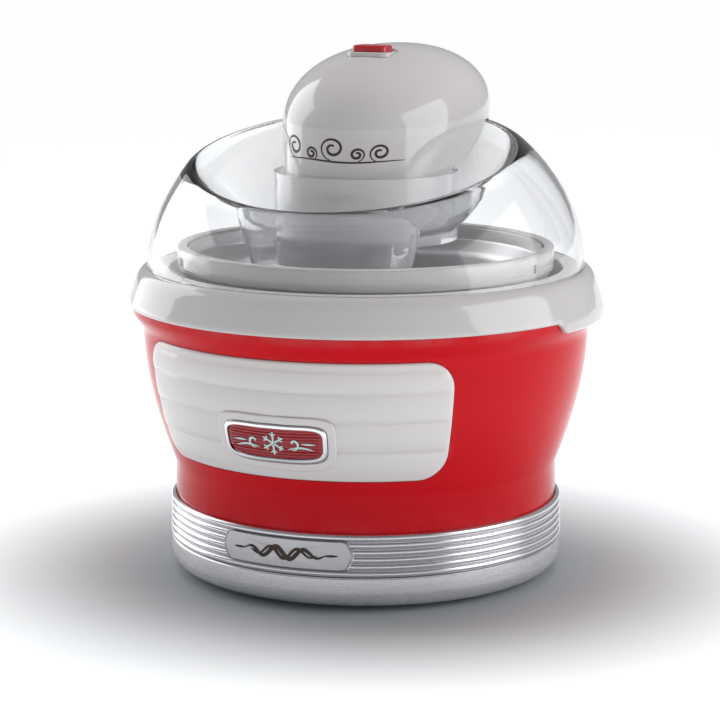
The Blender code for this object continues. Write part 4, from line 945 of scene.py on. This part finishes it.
def chute_loops(grow):
    low_end = CHUTE_LOW_Z - (1 if grow > 0 else 5) * MM
    levels = ((CHUTE_TOP_Z + 16 * MM, 1), (CHUTE_TOP_Z - 4 * MM, 1), (low_end, 0))
    loops = []
    for z, share in levels:
        width, depth, y = (low + (top - low) * share for low, top in zip(CHUTE_LOW, CHUTE_TOP))
        loops.append(ellipse(width + grow, depth + grow, y, z, 120))
    return loops


def make_lid():
    lid = lid_solid("clear_lid", 0)
    cut(lid, "DIFFERENCE", lid_solid("hollow", LID_WALL))
    sky = [(x, y, 300 * MM) for x, y, _ in crest_loop()]
    crater = [crater_loop(s, -1.2 * MM) for s in (1, 0.8, 0.6, 0.45, 0.3, 0.2, 0.12, 0.06, 0)]
    above = lofted("air", crater + [sky], triangles=True)
    above_collar = lofted("collar_air", crater + [sky], triangles=True)
    cut(above_collar, "DIFFERENCE", cylinder("slab", 150 * MM, 100 * MM, COLLAR_TOP_Z))
    well = cylinder("well", WELL_RADIUS + WELL_WALL, WELL_FLOOR_Z, 230 * MM)
    chute = lofted("chute", chute_loops(1.1 * MM))
    cut(well, "DIFFERENCE", above_collar)
    cut(chute, "DIFFERENCE", above)
    cut(lid, "UNION", chute, well)
    passage = lofted("passage", chute_loops(-1.1 * MM))
    cut(passage, "DIFFERENCE", cylinder("well_core", WELL_RADIUS + WELL_WALL + 0.2 * MM, 150 * MM, 300 * MM))
    hollow = cylinder("well_hollow", WELL_RADIUS, WELL_FLOOR_Z + 2.2 * MM, 300 * MM)
    hole = cylinder("shaft_hole", 10 * MM, 150 * MM, 180 * MM, 48)
    cut(lid, "DIFFERENCE", passage, hollow, hole)
    place(smooth(give(lid, "clear"), 30), "lid", "lid", slot="clear")


# --- motor unit --------------------------------------------------------------------------------
def flare_at(share):
    """The housing's half width, half length and middle, from its barrel (0) to its shoulder (1)."""
    flare = math.sin(share * math.pi / 2) ** 0.9
    half_width = MOTOR_RADIUS + (EGG_HALF_WIDTH - MOTOR_RADIUS) * flare
    half_length = MOTOR_RADIUS + (EGG_HALF_LENGTH - MOTOR_RADIUS) * flare
    return half_width, half_length, EGG_Y * flare


def housing_loops():
    steps = 120
    loops = [circle(MOTOR_RADIUS, z, steps) for z in (MOTOR_LOW_Z, MOTOR_LOW_Z + 14 * MM, FLARE_LOW_Z)]
    for share in (i / 12 for i in range(1, 13)):
        half_width, half_length, y = flare_at(share)
        z = FLARE_LOW_Z + (EGG_SHOULDER_Z - FLARE_LOW_Z) * share
        loops.append(ellipse(half_width, half_length, y, z, steps))
    for i in range(1, 21):
        a = math.radians(min(i * 4.5, 89))
        in_share, up_share = math.cos(a) ** EGG_FULLNESS, math.sin(a) ** EGG_FULLNESS
        y = EGG_Y + (EGG_TOP_Y - EGG_Y) * up_share
        z = EGG_SHOULDER_Z + (EGG_TOP_Z - EGG_SHOULDER_Z) * up_share
        loops.append(ellipse(EGG_HALF_WIDTH * in_share, EGG_HALF_LENGTH * in_share, y, z, steps))
    return loops


def housing_solid(name, depth):
    loops = shifted(housing_loops(), depth)
    if depth:
        loops[0] = [(x, y, z - 8 * MM) for x, y, z in loops[0]]
    solid = lofted(name, loops, triangles=True)
    lift = 1.4 * MM + depth * 1.3
    over_lid = [[(x, y, z + lift) for x, y, z in loop] for loop in lid_surface()]
    room = lofted(f"{name}_room", over_lid, triangles=True)
    cut(room, "DIFFERENCE", cylinder(f"{name}_core", MOTOR_RADIUS - depth + 0.6 * MM, 100 * MM, 300 * MM))
    return cut(solid, "DIFFERENCE", room)


def make_motor():
    housing = housing_solid("egg_housing", 0)
    cut(housing, "DIFFERENCE", housing_solid("egg_hollow", 2.4 * MM))
    opening = rounded_rectangle(BUTTON_WIDTH + 5.2 * MM, BUTTON_DEPTH + 5.2 * MM, 5.5 * MM, (0, BUTTON_Y))
    cut(housing, "DIFFERENCE", prism("opening", opening, 240 * MM, 262 * MM))
    across = [circle(6 * MM, y, 32, (0, 230 * MM)) for y in (66 * MM, 100 * MM)]
    cut(housing, "DIFFERENCE", lofted("gland_bore", [[(x, y, z) for x, z, y in loop] for loop in across]))
    for number, degrees in enumerate((60, -60, 144, -144)):
        screw_at = on_cylinder(math.radians(degrees), 33.2 * MM, 0)[:2]
        boss = cylinder(f"boss_{number}", 4.6 * MM, MOTOR_LOW_Z + 3.3 * MM, 186.7 * MM, 24, screw_at)
        cut(housing, "UNION", boss)
        cut(housing, "DIFFERENCE", cylinder(f"bore_{number}", 1.8 * MM, 160 * MM, 180 * MM, 12, screw_at))
    place(smooth(give(housing, "white"), 32), "motor_unit", "motor_housing", slot="white_gloss")
    make_button()
    for name, stroke in housing_ornament():
        place(barrel_print(name, stroke), "motor_unit", slot="black")


def make_button():
    centre = (0, BUTTON_Y)
    width, depth, corner = BUTTON_WIDTH + 4.6 * MM, BUTTON_DEPTH + 4.6 * MM, 5.2 * MM
    round_z = BEZEL_TOP_Z - 0.8 * MM
    outer = rounded_rectangle(width, depth, corner, centre)
    rows = [[(x, y, z) for x, y in outer] for z in (244 * MM, round_z)]
    for a in (k * math.pi / 6 for k in (1, 2, 3)):
        inset = 1.2 * MM * (1 - math.cos(a))
        smaller = rounded_rectangle(width - inset, depth - inset, corner - inset / 2, centre)
        rows.append([(x, y, round_z + 0.8 * MM * math.sin(a)) for x, y in smaller])
    bezel = lofted("button_frame", rows)
    inner = rounded_rectangle(BUTTON_WIDTH + 0.8 * MM, BUTTON_DEPTH + 0.8 * MM, 3.4 * MM, centre)
    cut(bezel, "DIFFERENCE", prism("frame_hole", inner, 240 * MM, 260 * MM))
    place(smooth(give(bezel, "white"), 45), "motor_unit", "button_bezel", slot="white_gloss")
    side_z, turns = BUTTON_TOP_Z - 1.4 * MM, (0.4, 0.8, 1.2, 1.57)
    steps = [(0, 246 * MM), (0, side_z)]
    steps += [(1.4 * MM * (1 - math.cos(a)), side_z + 1.1 * MM * math.sin(a)) for a in turns]
    steps += [(3.5 * MM, BUTTON_TOP_Z - 0.12 * MM), (5.2 * MM, BUTTON_TOP_Z)]
    rows = []
    for inset, z in steps:
        corner = min(max(3 * MM - inset * 0.4, 0.6 * MM), BUTTON_DEPTH / 2 - inset - 0.01 * MM)
        shape = rounded_rectangle(BUTTON_WIDTH - 2 * inset, BUTTON_DEPTH - 2 * inset, corner, centre)
        rows.append([(x, y, z) for x, y in shape])
    button = lofted("push_button", rows)
    cut(button, "UNION", cylinder("stem", 2.2 * MM, 241.6 * MM, 249 * MM, 24, centre))
    place(smooth(give(button, "button"), 50), "button", "power_button", slot="red")


def egg_point(angle, z):
    """The point on the housing's outside at an angle from the front, at a height."""
    half_width, half_length, y = flare_at((z - FLARE_LOW_Z) / (EGG_SHOULDER_Z - FLARE_LOW_Z))
    return Vector((half_width * math.sin(angle), y - half_length * math.cos(angle), z))


def barrel_print(name, stroke):
    """A dark printed stroke on the housing: stroke holds (angle, z, half width)."""
    rows = []
    last = len(stroke) - 1
    for i, (angle, z, half) in enumerate(stroke):
        here = egg_point(angle, z)
        before, after = stroke[max(i - 1, 0)], stroke[min(i + 1, last)]
        along = (egg_point(after[0], after[1]) - egg_point(before[0], before[1])).normalized()
        around = egg_point(angle + 0.01, z) - egg_point(angle - 0.01, z)
        up = egg_point(angle, z + 0.2 * MM) - egg_point(angle, z - 0.2 * MM)
        normal = around.cross(up).normalized()
        side = normal.cross(along).normalized()
        row = []
        for share, height in ((-1, -0.1), (-1, 0.05), (-0.5, 0.1), (0.5, 0.1), (1, 0.05), (1, -0.1)):
            row.append(tuple(here + side * half * share + normal * height * MM))
        rows.append(row)
    return lofted(name, rows, "ink", 60)


def housing_ornament():
    """A dark printed flourish of scrolls round the front of the housing: decoration, with no letters."""
    z = 208.4 * MM
    strokes = []
    # each entry: middle angle in degrees, height over z, radius, start, turn, thickness
    curls = (
        (-30, 0.0, 5.6, 1.0, 9.8),
        (-15, -2.6, 3.2, 2.2, -9.8),
        (0, 0.0, 5.6, 1.0, 9.8),
        (15, -2.6, 3.2, 2.2, -9.8),
        (28, -1.6, 4.2, 1.0, 9.8),
    )
    for number, (degrees, rise, radius, start, turn) in enumerate(curls):
        line = []
        for x, h, w in curl(0, 0, radius * MM, start, turn, 0.66 * MM, 64):
            line.append((math.radians(degrees) + x / MOTOR_RADIUS, z + rise * MM + h, w))
        strokes.append((f"flourish_curl_{number}", line))
    sweep = []
    for i in range(81):
        s = i / 80
        angle = math.radians(-38 + 82 * s)
        rise = -5.9 * MM + 0.5 * MM * math.sin(math.tau * 1.25 * s)
        sweep.append((angle, z + rise, 0.45 * MM * (0.15 + 0.85 * math.sin(math.pi * s) ** 0.6)))
    strokes.append(("flourish_sweep", sweep))
    return strokes


# --- pieces kept from the CAD model ------------------------------------------------------------
def finish_cad():
    kept = {
        "bowl_seat": "cream",
        "coolant_gel": "gel",
        "motor_base": "cream",
        "power_switch": "black",
        "switch_bracket": "cream",
        "motor_can": "steel",
        "gearbox_plate": "steel",
        "output_bush": "brass",
        "idler_axle": "steel",
        "cord_gland": "black",
        "button_spring": "steel",
        "drive_shaft": "steel",
        "output_gear": "nylon",
        "idler_gear": "nylon",
        "motor_pinion": "brass",
    }
    kept.update({f"foot_{side}": "rubber" for side in ("front", "right", "rear", "left")})
    kept.update({f"{kind}_screw_{n}": "steel" for kind in ("base", "cover") for n in (1, 2, 3, 4)})
    for name, look in kept.items():
        give(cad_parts[name], look)
        smooth(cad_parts[name], 35)


# --- floor, light and camera -------------------------------------------------------------------
def make_floor():
    """A pale floor that glows softly away from the machine, so its far parts are white: painted light, with a
    painted shadow round the base where the glow is low.
    """
    bm = bmesh.new()
    bmesh.ops.create_grid(bm, x_segments=16, y_segments=16, size=14.0)
    floor = add("floor", bm)
    g = Graph("floor_painted_glow")
    distance = g.from_axis()[1]
    # painted shadow and painted light: the emission is 0 near the machine and rises to 0.85 far off, so the
    # floor darkens round the base through its emission as well as through the shadow the lamps cast
    painted_shadow_to, white_from = 95 * MM, 275 * MM
    painted_light_glow = g.span(distance, 0.0, 0.85, painted_shadow_to, white_from, interpolation_type="SMOOTHSTEP")
    tone = g.ramp(g.noise(1.5, 3), (0.50, 0.545, 0.565), (0.53, 0.575, 0.595))
    floor.data.materials.append(
        g.set(
            Base_Color=tone,
            Roughness=g.span(g.noise(30, 3), 0.5, 0.6),
            Emission_Color=(1, 1, 1, 1),
            Emission_Strength=painted_light_glow,
            Specular_IOR_Level=0.2,
        )
    )


def area_light(name, place_at, target, width, height, power):
    data = bpy.data.lights.new(name, "AREA")
    data.shape = "RECTANGLE"
    data.size, data.size_y = width, height
    data.energy = power
    light = bpy.data.objects.new(name, data)
    light.location = place_at
    light.rotation_euler = (Vector(target) - Vector(place_at)).to_track_quat("-Z", "Y").to_euler()
    bpy.context.scene.collection.objects.link(light)
    return light


def from_camera(right, away, up):
    """A place given as seen from the camera's side: metres to its right, away from it, and up."""
    c, s = math.cos(CAMERA_AZIMUTH), math.sin(CAMERA_AZIMUTH)
    return (right * c - away * s, right * s + away * c, up)


def make_lights():
    world = bpy.data.worlds.new("studio")
    bpy.context.scene.world = world
    world.use_nodes = True
    nodes, links = world.node_tree.nodes, world.node_tree.links
    background = nodes["Background"]
    background.inputs["Color"].default_value = (0.97, 0.97, 1.0, 1)
    where = nodes.new("ShaderNodeTexCoord")
    split = nodes.new("ShaderNodeSeparateXYZ")
    level = nodes.new("ShaderNodeMapRange")
    for key, value in (("From Min", 0.45), ("From Max", 0.9), ("To Min", 0.36), ("To Max", 0.08)):
        level.inputs[key].default_value = value
    links.new(where.outputs["Generated"], split.inputs[0])
    links.new(split.outputs["Z"], level.inputs["Value"])
    links.new(level.outputs["Result"], background.inputs["Strength"])
    middle = (0, 0, 0.12)
    top = area_light("top_box", from_camera(0.0, 0.25, 1.1), middle, 0.9, 0.7, 6.5)
    top.visible_glossy = False
    top.visible_transmission = False
    area_light("left_box", from_camera(-1.0, 0.72, 0.5), middle, 1.0, 1.2, 7.0)
    area_light("right_box", from_camera(1.25, -0.35, 0.5), middle, 1.1, 1.1, 8.0)


def make_camera():
    data = bpy.data.cameras.new("camera")
    camera = bpy.data.objects.new("camera", data)
    bpy.context.scene.collection.objects.link(camera)
    camera.location = (0.4815, -1.1073, 0.3272)
    camera.rotation_euler = (math.pi / 2 - CAMERA_DIP, 0, CAMERA_AZIMUTH)
    data.lens = 125.75
    data.sensor_width = 36
    data.shift_x = -0.0082
    data.clip_start = 0.05
    data.clip_end = 50
    bpy.context.scene.camera = camera


def main():
    make_camera()
    make_lights()
    make_floor()
    make_tray()
    make_band()
    make_body()
    make_panel()
    make_badge()
    make_ring()
    make_bowl()
    make_paddle()
    make_lid()
    make_motor()
    finish_cad()
    bpy.context.scene.view_settings.view_transform = "Standard"


main()
